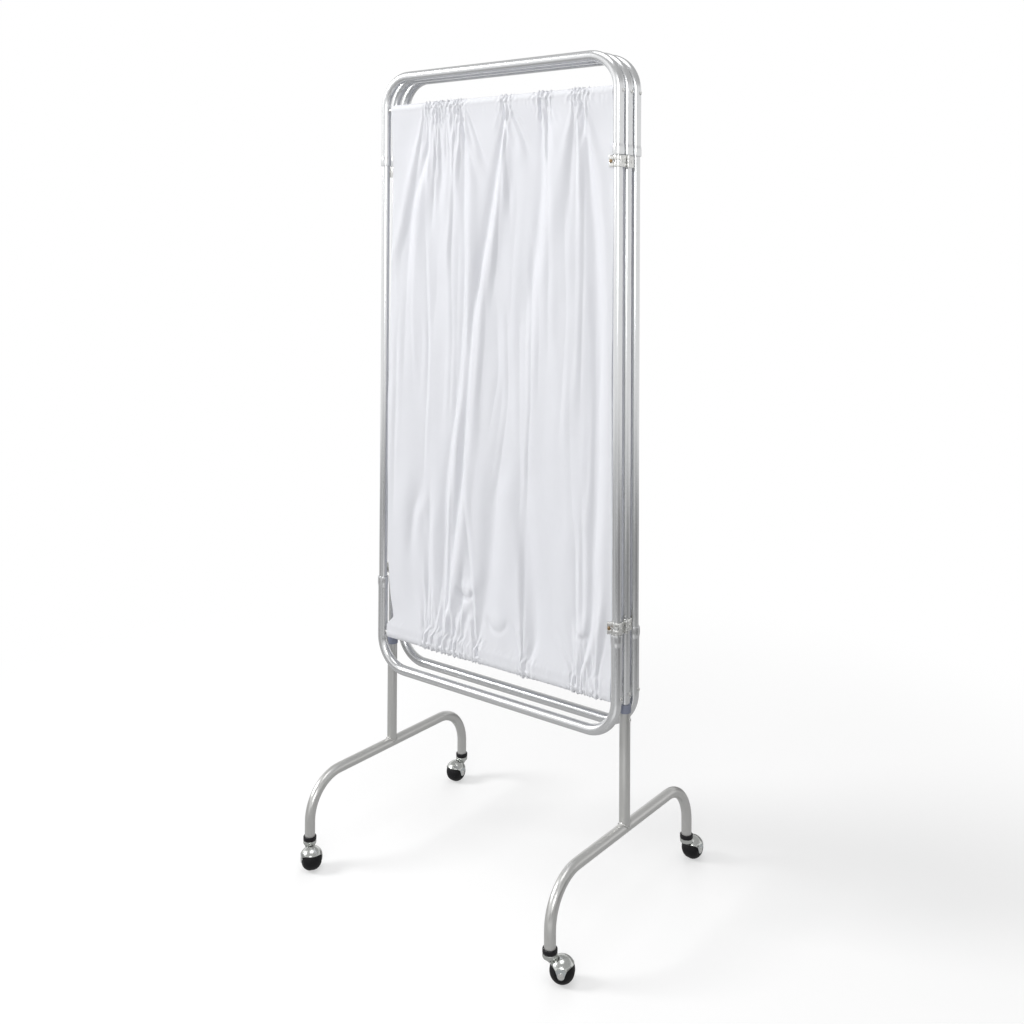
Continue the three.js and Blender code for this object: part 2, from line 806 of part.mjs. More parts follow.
function addMiddleFrame() {
  const { frameAluminium, zincPlate, whiteVinyl } = finishes;
  const rivetHoles = hingeHeights.map((height) => [rivetDiameter, height]);
  const outerHoles = [...rivetHoles, [screwDiameter, postTopHeight - postScrewDrop]];
  addPiece(screen, 'middle_top_bow', topBow(), frameAluminium);
  for (const [name, turn] of [['right', 0], ['left', Math.PI]]) {
    const tube = sideTube(middleTubeBottom, sideTubeTop, outerHoles, bottomRodHeight);
    tube.translate(halfSpacing, 0, 0).rotateZ(turn);
    addPiece(screen, `middle_${name}_tube`, tube, frameAluminium);
    hingeHeights.forEach((height, index) => {
      const leaf = atMiddleTube(hingeLeaf(true), height).rotateZ(turn);
      addPiece(screen, `${name}_${levels[index]}_hinge_frame_leaf`, leaf, zincPlate);
    });
  }
  addPiece(screen, 'middle_curtain', curtain(middleFoldPhase), whiteVinyl);
  addPiece(screen, 'middle_top_rod', curtainRod(topRodHeight, bowRadius), zincPlate);
  // Without a bottom bow, the bottom rod is screwed straight to the two side tubes
  addPiece(screen, 'middle_bottom_rod', curtainRod(bottomRodHeight, sideRadius), zincPlate);
}

// A wing in its own group: the front wing as built, the rear wing turned half round about the
// middle frame's centre line
function addWing(name, hingeName, freeName, turn, phase) {
  const { frameAluminium, zincPlate, whiteVinyl } = finishes;
  const wing = new THREE.Group();
  const inPlane = (geometry) => geometry.translate(0, -frameSpacing, 0);
  const rivetHoles = hingeHeights.map((height) => [rivetDiameter, height]);
  addPiece(wing, `${name}_top_bow`, inPlane(topBow()), frameAluminium);
  addPiece(wing, `${name}_bottom_bow`, inPlane(bottomBow()), frameAluminium);
  const hingeTube = sideTube(wingTubeBottom, sideTubeTop, rivetHoles);
  addPiece(wing, `${name}_${hingeName}_tube`, atWingTube(hingeTube, 0), frameAluminium);
  const freeTube = sideTube(wingTubeBottom, sideTubeTop, []);
  freeTube.translate(-halfSpacing, -frameSpacing, 0);
  addPiece(wing, `${name}_${freeName}_tube`, freeTube, frameAluminium);
  addPiece(wing, `${name}_curtain`, inPlane(curtain(phase)), whiteVinyl);
  addPiece(wing, `${name}_top_rod`, inPlane(curtainRod(topRodHeight, bowRadius)), zincPlate);
  const bottomRod = inPlane(curtainRod(bottomRodHeight, bowRadius));
  addPiece(wing, `${name}_bottom_rod`, bottomRod, zincPlate);
  hingeHeights.forEach((height, index) => {
    const leaf = atWingTube(hingeLeaf(false), height);
    addPiece(wing, `${hingeName}_${levels[index]}_hinge_wing_leaf`, leaf, zincPlate);
    const pin = atWingPin(hingePin(), height);
    addPiece(wing, `${hingeName}_${levels[index]}_hinge_pin`, pin, zincPlate);
  });
  wing.rotateZ(turn);
  screen.add(wing);
}

// Caster directions at rest, in degrees from +X, as the screen was last rolled
const casterTurns = {
  right_front: 28,
  right_rear: 84,
  left_front: -33,
  left_rear: -88,
};

function addBase() {
  const { paintedBase, greyPlastic, blackPlastic, chrome, zincPlate, wheelRubber } = finishes;
  for (const [sideName, side] of [['left', -1], ['right', 1]]) {
    const x = side * halfSpacing;
    addPiece(screen, `${sideName}_foot_bow`, footBow().translate(x, 0, 0), paintedBase);
    const column = post().rotateZ(side < 0 ? Math.PI : 0).translate(x, 0, 0);
    addPiece(screen, `${sideName}_post`, column, paintedBase);
    addPiece(screen, `${sideName}_post_bushing`, postBushing().translate(x, 0, 0), greyPlastic);
    addPiece(screen, `${sideName}_post_screw`, postScrew(side), zincPlate);
    for (const [endName, end] of [['front', -1], ['rear', 1]]) {
      const corner = new THREE.Group();
      const cornerName = `${sideName}_${endName}`;
      corner.position.set(x, end * footReach, 0);
      addPiece(corner, `${cornerName}_caster_socket`, casterSocket(), blackPlastic);
      const swivel = new THREE.Group();
      swivel.rotateOnAxis(zAxis, THREE.MathUtils.degToRad(casterTurns[cornerName]));
      addPiece(swivel, `${cornerName}_caster_hood`, casterHood(), chrome);
      addPiece(swivel, `${cornerName}_caster_axle`, casterAxle(), zincPlate);
      addPiece(swivel, `${cornerName}_caster_wheel`, ballWheel(), wheelRubber);
      corner.add(swivel);
      screen.add(corner);
    }
  }
}

addMiddleFrame();
addWing('front', 'right', 'left', 0, frontFoldPhase);
addWing('rear', 'left', 'right', Math.PI, rearFoldPhase);
addBase();

// Bring the middle of the outline to the origin, with the wheels on the floor
screen.updateMatrixWorld(true);
const outlineBox = new THREE.Box3().setFromObject(screen, true);
const outlineCentre = outlineBox.getCenter(new THREE.Vector3());
screen.position.set(-outlineCentre.x, -outlineCentre.y, -outlineBox.min.z);
screen.updateMatrixWorld(true);

export default screen;
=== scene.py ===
"""A ward privacy screen on wheels: smooth bent tubes, strap hinges, hooded ball casters and
gathered vinyl curtains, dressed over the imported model. Metres, +Z up, front wing towards -Y."""

import json
import math
import random

import bmesh
import bpy
import numpy as np
from mathutils import Matrix, Vector

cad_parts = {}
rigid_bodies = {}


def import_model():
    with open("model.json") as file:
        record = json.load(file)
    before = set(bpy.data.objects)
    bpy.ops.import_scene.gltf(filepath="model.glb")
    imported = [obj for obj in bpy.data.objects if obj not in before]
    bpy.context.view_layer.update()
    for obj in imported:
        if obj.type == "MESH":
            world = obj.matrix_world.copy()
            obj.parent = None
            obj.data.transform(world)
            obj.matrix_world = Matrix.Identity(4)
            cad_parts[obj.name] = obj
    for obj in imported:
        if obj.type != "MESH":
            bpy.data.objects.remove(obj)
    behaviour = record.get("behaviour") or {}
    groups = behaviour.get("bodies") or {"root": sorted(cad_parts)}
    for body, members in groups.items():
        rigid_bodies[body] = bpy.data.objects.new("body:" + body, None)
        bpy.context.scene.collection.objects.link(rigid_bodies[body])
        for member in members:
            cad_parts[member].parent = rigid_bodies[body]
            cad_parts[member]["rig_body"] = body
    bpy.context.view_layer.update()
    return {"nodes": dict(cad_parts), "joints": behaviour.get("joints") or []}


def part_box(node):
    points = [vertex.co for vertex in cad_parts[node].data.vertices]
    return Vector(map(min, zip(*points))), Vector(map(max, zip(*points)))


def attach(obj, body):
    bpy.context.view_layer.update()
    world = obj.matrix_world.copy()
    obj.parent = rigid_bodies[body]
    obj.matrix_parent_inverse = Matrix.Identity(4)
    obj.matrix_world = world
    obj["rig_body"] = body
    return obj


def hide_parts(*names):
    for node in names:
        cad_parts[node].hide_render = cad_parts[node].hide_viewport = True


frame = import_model()

MM = 0.001
X_AXIS, Y_AXIS, Z_AXIS = Vector((1, 0, 0)), Vector((0, 1, 0)), Vector((0, 0, 1))

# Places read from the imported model
MIDDLE_LOW, MIDDLE_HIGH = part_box("middle_top_bow")
FRONT_LOW, FRONT_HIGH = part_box("front_top_bow")
CENTRE_X = (MIDDLE_LOW.x + MIDDLE_HIGH.x) / 2
CENTRE_Y = (MIDDLE_LOW.y + MIDDLE_HIGH.y) / 2
FRONT_Y = (FRONT_LOW.y + FRONT_HIGH.y) / 2
SOCKET_RADIUS = (MIDDLE_HIGH.y - MIDDLE_LOW.y) / 2
HALF_SPACING = (MIDDLE_HIGH.x - MIDDLE_LOW.x) / 2 - SOCKET_RADIUS
SCREEN_TOP = MIDDLE_HIGH.z
FRAME_SPACING = CENTRE_Y - FRONT_Y

# Tubes
BOW_RADIUS = 11.1 * MM
SIDE_RADIUS = 9.5 * MM
BEND_RADIUS = 70 * MM
FOOT_BEND_RADIUS = 85 * MM
SOCKET_STRAIGHT = 13 * MM
SOCKET_LENGTH = 25 * MM
SOCKET_BORE = 9.8 * MM
LIP_ROUNDING = 0.8 * MM
BORE_SHOWN = 8 * MM
TUBE_END_ROUNDING = 0.4 * MM
TUBE_SIDES = 40
BEND_STEPS = 16
LIP_STEPS = 4
BELL_STEPS = 6
PINHOLE = 0.02 * MM

# Curtains
ROD_RADIUS = 4 * MM
FOLD_LIMIT = 13 * MM
CURTAIN_COLUMNS = 440
FIELD_ROWS = 160
CASING_ROWS = 40

# Hinges, seen from a tube's axis with the outer side towards +X and the pin towards +Y
HINGE_HALF = 12 * MM
STRAP_INNER = 9.75 * MM
STRAP_THICKNESS = 1.5 * MM
STRAP_OUTER = STRAP_INNER + STRAP_THICKNESS
BAND_GAP = 4.4 * MM
PIN_OUT = 13.6 * MM
KNUCKLE_RADIUS = 3.8 * MM
KNUCKLE_GAP = 0.35 * MM
EAR_REACH = 19 * MM
EAR_SLIT = 1.6 * MM
EAR_ANGLE = math.radians(-140)
LEAF_TAIL = 8 * MM
LEAF_CORNER = 2.5 * MM
NOTCH_CLEARANCE = 0.8 * MM
EDGE_ROUNDING = 0.35 * MM
STRAP_STEPS = 56
NUT_RADIUS = 3.5 * MM
NUT_HEIGHT = 2.6 * MM
PIN_RADIUS = 1.7 * MM
PIN_HEAD_RADIUS = 2.6 * MM

# Screws and casters
SCREW_HEAD_RADIUS = 3.7 * MM
SCREW_HEAD_RISE = 2.2 * MM
HEAD_SUNK = 0.1 * MM
SMALL_SIDES = 28
WHEEL_HALF_WIDTH = 19.8 * MM
HOOD_RADIUS = 25.4 * MM
HOOD_FLAT = 22 * MM
HOOD_WALL = 1 * MM
HOOD_CLEARANCE = 24.5 * MM
SEAT_GAP = 0.3 * MM
STEM_RADIUS = 3.9 * MM
STEM_LENGTH = 29 * MM
STEM_BORE = 4.3 * MM
SLEEVE_RADIUS = 8.4 * MM


class Shape:
    """Vertices, faces and flat coordinates gathered for one piece; (u, v) are metres on the surface."""

    def __init__(self):
        self.points = []
        self.faces = []
        self.flat = []

    def loft(self, rings, capped=(False, False), closed=True):
        """Skin over rings of points; every ring has the same count."""
        count = len(rings[0])
        start = len(self.points)
        girth = max(ring_length(ring) for ring in rings)
        travelled = 0.0
        along = []
        for index, ring in enumerate(rings):
            if index:
                travelled += (ring_centre(ring) - ring_centre(rings[index - 1])).length
            along.append(travelled)
            self.points.extend(ring)
        spans = count if closed else count - 1
        for index in range(len(rings) - 1):
            low, high = start + index * count, start + (index + 1) * count
            for side in range(spans):
                following = (side + 1) % count
                self.faces.append((low + side, low + following, high + following, high + side))
                left, right = girth * side / spans, girth * (side + 1) / spans
                bottom, top = along[index], along[index + 1]
                self.flat.append(((left, bottom), (right, bottom), (right, top), (left, top)))
        for wanted, first in zip(capped, (start, start + (len(rings) - 1) * count)):
            if wanted:
                self.add_face(range(first, first + count))
        return self

    def add_face(self, corners):
        corners = tuple(corners)
        self.faces.append(corners)
        self.flat.append(tuple((self.points[c].x, self.points[c].z) for c in corners))

    def grid(self, rows):
        """Skin over an open grid of points, row by row."""
        return self.loft(rows, closed=False)

    def moved(self, matrix):
        self.points = [matrix @ Vector(point) for point in self.points]
        return self

    def plus(self, *others):
        for other in others:
            start = len(self.points)
            self.points.extend(other.points)
            self.faces.extend(tuple(start + c for c in face) for face in other.faces)
            self.flat.extend(other.flat)
        return self


def ring_centre(ring):
    return sum((Vector(p) for p in ring), Vector()) / len(ring)


def ring_length(ring):
    return sum((Vector(a) - Vector(b)).length for a, b in zip(ring, ring[1:] + ring[:1]))


def circle(centre, across, over, radius, sides):
    """Ring of points round a centre, turning from across towards over."""
    turns = (2 * math.pi * side / sides for side in range(sides))
    return [centre + radius * (math.cos(t) * across + math.sin(t) * over) for t in turns]


def quarter(steps):
    """Sines and cosines of a quarter turn in even steps."""
    turns = [math.pi / 2 * step / steps for step in range(steps + 1)]
    return [(math.sin(turn), math.cos(turn)) for turn in turns]


def lathe(profile, sides=32, axis=Z_AXIS, across=X_AXIS):
    """Body of revolution: (radius, place along the axis) from one end to the other. An end on the
    axis is drawn in to a pinhole."""
    over = axis.cross(across)
    rings = [circle(place * axis, across, over, max(radius, PINHOLE), sides)
             for radius, place in profile]
    return Shape().loft(rings, capped=(profile[0][0] > 0, profile[-1][0] > 0))


def rounded(low, high, radius, rounding, steps=4):
    """Profile of a plain round bar with rounded ends, from its low end to its high end."""
    first = [(radius - rounding + rounding * sine, low + rounding - rounding * cosine)
             for sine, cosine in quarter(steps)]
    last = [(radius - rounding + rounding * cosine, high - rounding + rounding * sine)
            for sine, cosine in quarter(steps)]
    return [(0, low)] + first + last + [(0, high)]


def rounded_run(corners, bend_radius, steps=BEND_STEPS):
    """A bent tube's run: (point, direction) at each station, with every inner corner rounded."""
    stations = [(corners[0], (corners[1] - corners[0]).normalized())]
    for before, corner, after in zip(corners, corners[1:], corners[2:]):
        enter, leave = (corner - before).normalized(), (after - corner).normalized()
        turn = enter.angle(leave)
        reach = bend_radius * math.tan(turn / 2)
        inward = (leave - enter.dot(leave) * enter).normalized()
        hub = corner - enter * reach + inward * bend_radius
        for step in range(steps + 1):
            angle = turn * step / steps
            sine, cosine = math.sin(angle), math.cos(angle)
            point = hub - inward * bend_radius * cosine + enter * bend_radius * sine
            stations.append((point, enter * cosine + inward * sine))
    stations.append((corners[-1], (corners[-1] - corners[-2]).normalized()))
    return stations


def sweep(run, normal, capped=(True, True), sides=TUBE_SIDES):
    """Tube along (point, direction, radius) stations that lie in the plane across normal."""
    rings = [circle(point, direction.cross(normal), normal, radius, sides)
             for point, direction, radius in run]
    return Shape().loft(rings, capped=capped)


def piece(name, shape, finish, body, sharp):
    """Make a shape into an object that rides on a body, with edges over an angle kept sharp."""
    mesh = bpy.data.meshes.new(name)
    mesh.from_pydata([tuple(p) for p in shape.points], [], shape.faces)
    layer = mesh.uv_layers.new(name="surface")
    flat = [corner for face in shape.flat for corner in face]
    layer.data.foreach_set("uv", np.array(flat, dtype=np.float32).ravel())
    gathered = bmesh.new()
    gathered.from_mesh(mesh)
    bmesh.ops.recalc_face_normals(gathered, faces=gathered.faces)
    gathered.to_mesh(mesh)
    gathered.free()
    mesh.shade_smooth()
    mesh.set_sharp_from_angle(angle=math.radians(sharp))
    mesh.materials.append(finish)
    made = bpy.data.objects.new(name, mesh)
    bpy.context.scene.collection.objects.link(made)
    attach(made, body)
    return made


# Finishes

def linear(code):
    """Linear colour from an sRGB hex code."""
    channels = [int(code[place:place + 2], 16) / 255 for place in (0, 2, 4)]
    return tuple(c / 12.92 if c <= 0.04045 else ((c + 0.055) / 1.055) ** 2.4 for c in channels) + (1,)


def add_node(tree, kind, settings=None, links=None):
    """Add a shader node; settings are properties or sockets, links are sources for its sockets."""
    node = tree.nodes.new(kind)
    for key, value in (settings or {}).items():
        if hasattr(node, str(key)):
            setattr(node, key, value)
        else:
            node.inputs[key].default_value = value
    for key, source in (links or {}).items():
        tree.links.new(source, node.inputs[key])
    return node


def surface(name, colour, metallic, roughness, grain, spread, shade, relief=0.0, extra=None,
            glow_through=0.0):
    """A finish with its own grain: sizes in metres along u and v, or x, y and z where there are three.
    spread varies the roughness, shade the colour, and relief is the height of the grain in metres.
    glow_through is the share of light that a thin sheet lets through, scattered."""
    material = bpy.data.materials.new(name)
    material.use_nodes = True
    tree = material.node_tree
    tree.nodes.clear()
    settings = {"Base Color": linear(colour), "Metallic": metallic, "Roughness": roughness}
    settings.update(extra or {})
    place = add_node(tree, "ShaderNodeTexCoord")
    flat = len(grain) == 2
    scale = tuple(1 / size for size in grain) + ((1,) if flat else ())
    mapped = add_node(tree, "ShaderNodeMapping", {"Scale": scale},
                      {"Vector": place.outputs["UV" if flat else "Object"]})
    noise = add_node(tree, "ShaderNodeTexNoise", {"Scale": 1.0, "Detail": 4.0, "Roughness": 0.55},
                     {"Vector": mapped.outputs["Vector"]})
    rough = add_node(tree, "ShaderNodeMapRange",
                     {"To Min": max(roughness - spread, 0.02), "To Max": roughness + spread},
                     {"Value": noise.outputs["Fac"]})
    dim = add_node(tree, "ShaderNodeMapRange", {"To Min": 1 - shade, "To Max": 1 + shade},
                   {"Value": noise.outputs["Fac"]})
    tint = add_node(tree, "ShaderNodeVectorMath", {"operation": "SCALE", 0: linear(colour)[:3]},
                    {"Scale": dim.outputs["Result"]})
    links = {"Roughness": rough.outputs["Result"], "Base Color": tint.outputs["Vector"]}
    if relief:
        bump = add_node(tree, "ShaderNodeBump", {"Strength": 1.0, "Distance": relief},
                        {"Height": noise.outputs["Fac"]})
        links["Normal"] = bump.outputs["Normal"]
    shader = add_node(tree, "ShaderNodeBsdfPrincipled", settings, links)
    result = shader.outputs["BSDF"]
    if glow_through:
        through = add_node(tree, "ShaderNodeBsdfTranslucent", {"Color": linear(colour)})
        result = add_node(tree, "ShaderNodeMixShader", {0: glow_through},
                          {1: result, 2: through.outputs["BSDF"]}).outputs["Shader"]
    add_node(tree, "ShaderNodeOutputMaterial", {}, {"Surface": result})
    return material


# Each row gives colour, metallic, roughness, grain, and how far roughness and colour vary with it

# Drawn and anodised tube: a soft satin metal with fine lines running along it
ALUMINIUM = surface("anodised_aluminium", "DDDEDF", 0.84, 0.24, (0.35 * MM, 70 * MM), 0.04, 0.03)
# Silver paint on the steel base: greyer than the tubes, faint orange peel
PAINT = surface("silver_paint", "CCCCCA", 0.74, 0.32, (1.6 * MM, 1.6 * MM, 1.6 * MM), 0.04, 0.02,
                relief=0.02 * MM)
# Bright zinc on straps, knuckles and screws: warm grey with a cloudy passivated film
ZINC = surface("bright_zinc", "DADAD8", 0.88, 0.27, (5 * MM, 5 * MM, 5 * MM), 0.08, 0.08)
# Yellow-passivated bolt: the small golden spot on each clamp
GOLD_ZINC = surface("yellow_zinc", "998264", 0.9, 0.33, (3 * MM, 3 * MM, 3 * MM), 0.06, 0.1)
# Polished chrome on the caster hoods, with a trace of handling haze
CHROME = surface("polished_chrome", "CCCECB", 1.0, 0.22, (9 * MM, 9 * MM, 9 * MM), 0.03, 0.02)
# The same plate left satin on the flat tongues
SATIN = surface("satin_chrome", "CED3D4", 1.0, 0.32, (2 * MM, 2 * MM, 2 * MM), 0.05, 0.05)
# Moulded black plastic of the caster sockets
BLACK = surface("black_plastic", "161418", 0.0, 0.42, (0.8 * MM, 0.8 * MM, 0.8 * MM), 0.05, 0.1,
                relief=0.02 * MM, extra={"Specular IOR Level": 0.3})
# Blue-grey plastic bushing at the post's top
GREY = surface("grey_plastic", "838899", 0.0, 0.45, (0.8 * MM, 0.8 * MM, 0.8 * MM), 0.05, 0.05,
               relief=0.02 * MM)
# Charcoal rubber of the balls: matt, slightly scuffed by the floor
RUBBER = surface("charcoal_rubber", "121214", 0.0, 0.55, (2.5 * MM, 2.5 * MM, 2.5 * MM), 0.1, 0.18,
                 relief=0.03 * MM, extra={"Specular IOR Level": 0.25})
# White vinyl sheet: cool white, soft gloss and a fine embossed grain
VINYL = surface("white_vinyl", "F1F2F6", 0.0, 0.5, (0.9 * MM, 0.9 * MM), 0.05, 0.01,
                relief=0.03 * MM, extra={"Specular IOR Level": 0.35}, glow_through=0.2)


def dress(node, shape, finish, label="skin", sharp=40):
    """Show a shape in place of a CAD node, or as one more part of the piece that does."""
    made = piece(f"{node}_{label}", shape, finish, frame["nodes"][node]["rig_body"], sharp)
    if label == "skin":
        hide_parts(node)
    return made


# Frames: a wing's pieces are built in the middle frame's place, then carried to their own
AT_MIDDLE = Matrix.Translation((CENTRE_X, CENTRE_Y, 0))
AT_FRONT = AT_MIDDLE @ Matrix.Translation((0, -FRAME_SPACING, 0))
HALF_TURN = Matrix.Rotation(math.pi, 4, "Z")
AT_REAR = AT_MIDDLE @ HALF_TURN @ Matrix.Translation((0, -FRAME_SPACING, 0))
PLACES = {"middle": AT_MIDDLE, "front": AT_FRONT, "rear": AT_REAR}


def socket_stations():
    """(distance from the arm's open end, radius): out of the bore, over the lip, up the bell."""
    stations = [(BORE_SHOWN, SOCKET_BORE)]
    for sine, cosine in quarter(LIP_STEPS):
        stations.append((LIP_ROUNDING * (1 - sine), SOCKET_BORE + LIP_ROUNDING * (1 - cosine)))
    for sine, cosine in quarter(LIP_STEPS):
        stations.append((LIP_ROUNDING * (1 - cosine), SOCKET_RADIUS - LIP_ROUNDING * (1 - sine)))
    for step in range(BELL_STEPS + 1):
        share = step / BELL_STEPS
        radius = BOW_RADIUS + (SOCKET_RADIUS - BOW_RADIUS) * (1 + math.cos(math.pi * share)) / 2
        stations.append((SOCKET_STRAIGHT + share * (SOCKET_LENGTH - SOCKET_STRAIGHT), radius))
    return stations


def bow(end_height, bar_height):
    """A bow with belled ends; it hangs upside down where its bar is below its ends."""
    up = 1 if bar_height > end_height else -1
    corners = [Vector((side * HALF_SPACING, 0, z)) for side, z in
               ((-1, end_height), (-1, bar_height), (1, bar_height), (1, end_height))]
    run = rounded_run(corners, BEND_RADIUS)[1:-1]
    along = Vector((0, 0, up))
    socket = socket_stations()
    first = [(corners[0] + along * rise, along, radius) for rise, radius in socket]
    last = [(corners[3] + along * rise, -along, radius) for rise, radius in reversed(socket)]
    middle = [(point, direction, BOW_RADIUS) for point, direction in run]
    return sweep(first + middle + last, Y_AXIS, capped=(False, False))


def straight(low, high, radius, x):
    """Plain upright tube with slightly rounded ends."""
    tube = lathe(rounded(low, high, radius, TUBE_END_ROUNDING), TUBE_SIDES)
    return tube.moved(Matrix.Translation((x, 0, 0)))


# Pan head from rim to middle, and its cross recess, as shares of the head's radius and rise
PAN_SECTION = [(1, 0), (1, 0.45), (0.93, 0.72), (0.8, 0.9), (0.66, 0.97), (0.5, 1), (0.38, 1), (0.26, 1),
               (0.14, 1), (0.01, 1)]
RECESS_REACH, RECESS_HALF_WIDTH, RECESS_DEPTH = 0.5, 0.11, 0.62


def screw_head():
    """Pan head along +Z with a cross recess, on a polar grid; its underside is at height zero."""
    rings = []
    spokes = 48
    for radius_share, height in PAN_SECTION:
        ring = []
        for spoke in range(spokes):
            turn = 2 * math.pi * spoke / spokes
            off_arm = min(abs(math.sin(turn)), abs(math.cos(turn))) * radius_share
            sunk = off_arm < RECESS_HALF_WIDTH and radius_share <= RECESS_REACH
            depth = RECESS_DEPTH if sunk else 0.0
            reach = SCREW_HEAD_RADIUS * radius_share
            ring.append(Vector((reach * math.cos(turn), reach * math.sin(turn),
                                SCREW_HEAD_RISE * (height - depth))))
        rings.append(ring)
    return Shape().loft(rings, capped=(True, True))


def facing(point, direction):
    """Places a shape built along +Z so that it starts at a point and runs in a direction."""
    return Matrix.Translation(point) @ Vector(direction).to_track_quat("Z", "Y").to_matrix().to_4x4()


def rod(height, tube_radius):
    """Curtain rod between the tubes, with its two pan-head screws outside them."""
    reach = HALF_SPACING - tube_radius
    bar = lathe(rounded(-reach, reach, ROD_RADIUS, 0.6 * MM), SMALL_SIDES, X_AXIS, Y_AXIS)
    bar.moved(Matrix.Translation((0, 0, height)))
    for side in (-1, 1):
        seat = Vector((side * (HALF_SPACING + tube_radius - HEAD_SUNK), 0, height))
        bar.plus(screw_head().moved(facing(seat, (side, 0, 0))))
    return bar


def level(node):
    """Middle height of a CAD node."""
    low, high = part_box(node)
    return (low.z + high.z) / 2


TOP_SOCKET = MIDDLE_LOW.z
TOP_BAR = SCREEN_TOP - BOW_RADIUS
WING_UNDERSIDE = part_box("front_bottom_bow")[0].z
BOTTOM_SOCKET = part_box("front_bottom_bow")[1].z
BOTTOM_BAR = WING_UNDERSIDE + BOW_RADIUS
TOP_ROD = level("middle_top_rod")
BOTTOM_ROD = level("middle_bottom_rod")

for name, place in PLACES.items():
    dress(f"{name}_top_bow", bow(TOP_SOCKET, TOP_BAR).moved(place), ALUMINIUM)
    if name != "middle":
        dress(f"{name}_bottom_bow", bow(BOTTOM_SOCKET, BOTTOM_BAR).moved(place), ALUMINIUM)
    for side_name, side in (("left", -1), ("right", 1)):
        node = f"{name}_{side_name}_tube"
        low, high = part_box(node)
        turned = -side if name == "rear" else side
        tube = straight(low.z, high.z, SIDE_RADIUS, turned * HALF_SPACING)
        dress(node, tube.moved(place), ALUMINIUM)
    dress(f"{name}_top_rod", rod(TOP_ROD, BOW_RADIUS).moved(place), ZINC)
    low_radius = SIDE_RADIUS if name == "middle" else BOW_RADIUS
    dress(f"{name}_bottom_rod", rod(BOTTOM_ROD, low_radius).moved(place), ZINC)


# Base
FOOT_LOW, FOOT_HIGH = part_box("left_foot_bow")
FOOT_BAR = FOOT_HIGH.z - BOW_RADIUS
LEG_END = FOOT_LOW.z
FOOT_REACH = (FOOT_HIGH.y - FOOT_LOW.y) / 2 - BOW_RADIUS
POST_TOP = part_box("left_post")[1].z
BUSHING_LOW, BUSHING_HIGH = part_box("left_post_bushing")
BUSHING_RADIUS = (BUSHING_HIGH.y - BUSHING_LOW.y) / 2
WELD_RADIUS = 2.1 * MM
WELD_RIPPLES = 24
WELD_SWELL = 0.1


def foot_bow():
    """Arched tube of the foot: two legs and the bar between them."""
    corners = [Vector((0, end * FOOT_REACH, z)) for end, z in
               ((-1, LEG_END), (-1, FOOT_BAR), (1, FOOT_BAR), (1, LEG_END))]
    stations = rounded_run(corners, FOOT_BEND_RADIUS)
    return sweep([(point, direction, BOW_RADIUS) for point, direction in stations], X_AXIS)


def weld_bead():
    """Rippled bead along the saddle line where the post stands on the foot."""
    rings = []
    stations = 96
    for station in range(stations + 1):
        turn = 2 * math.pi * station / stations
        radius = WELD_RADIUS * (1 + WELD_SWELL * math.sin(WELD_RIPPLES * turn))
        out = Vector((math.cos(turn), math.sin(turn), 0))
        height = FOOT_BAR + math.hypot(BOW_RADIUS * math.sin(turn), 2 * MM)
        centre = out * (BOW_RADIUS + 0.2 * MM) + Z_AXIS * height
        rings.append(circle(centre, out, Z_AXIS, radius, 10))
    return Shape().loft(rings)


def post():
    """Stub tube with its bead; the bottom is hidden in the foot."""
    column = lathe(rounded(FOOT_BAR, POST_TOP, BOW_RADIUS, 0.5 * MM), TUBE_SIDES)
    return column.plus(weld_bead())


def bushing():
    """Stepped collar: a rounded rim, a slightly narrower neck and a chamfered top."""
    mouth = SIDE_RADIUS + 0.2 * MM
    low, high = BUSHING_LOW.z, BUSHING_HIGH.z
    profile = [(mouth, low), (BUSHING_RADIUS - 0.5 * MM, low), (BUSHING_RADIUS, low + 0.5 * MM),
               (BUSHING_RADIUS, high - 1.4 * MM), (BUSHING_RADIUS - 0.4 * MM, high - 0.7 * MM),
               (BUSHING_RADIUS - 1.3 * MM, high), (mouth, high)]
    return lathe(profile, TUBE_SIDES)


for side_name, side in (("left", -1), ("right", 1)):
    at_foot = AT_MIDDLE @ Matrix.Translation((side * HALF_SPACING, 0, 0))
    dress(f"{side_name}_foot_bow", foot_bow().moved(at_foot), PAINT)
    dress(f"{side_name}_post", post().moved(at_foot), PAINT)
    dress(f"{side_name}_post_bushing", bushing().moved(at_foot), GREY)
    seat = Vector((side * (BOW_RADIUS - HEAD_SUNK), 0, level(f"{side_name}_post_screw")))
    dress(f"{side_name}_post_screw", screw_head().moved(at_foot @ facing(seat, (side, 0, 0))), ZINC)


# Hinges

def slab(outline, low, high, rounding=EDGE_ROUNDING):
    """Flat outline in X and Y, extruded along Z, with its two rims rounded over."""
    work = bmesh.new()
    base = work.faces.new([work.verts.new((x, y, low)) for x, y in outline])
    grown = bmesh.ops.extrude_face_region(work, geom=[base])["geom"]
    raised = [item for item in grown if isinstance(item, bmesh.types.BMVert)]
    bmesh.ops.translate(work, verts=raised, vec=(0, 0, high - low))
    bmesh.ops.recalc_face_normals(work, faces=work.faces)
    rims = [edge for edge in work.edges if abs(edge.verts[0].co.z - edge.verts[1].co.z) < rounding]
    bmesh.ops.bevel(work, geom=rims, offset=rounding, segments=2, profile=0.5, affect="EDGES")
    work.verts.index_update()
    shape = Shape()
    shape.points = [vertex.co.copy() for vertex in work.verts]
    for face in work.faces:
        shape.add_face(vertex.index for vertex in face.verts)
    work.free()
    return shape


def arc(radius, start, end, steps):
    """Points (x, y) along part of a circle."""
    turns = (start + (end - start) * step / steps for step in range(steps + 1))
    return [(radius * math.cos(turn), radius * math.sin(turn)) for turn in turns]


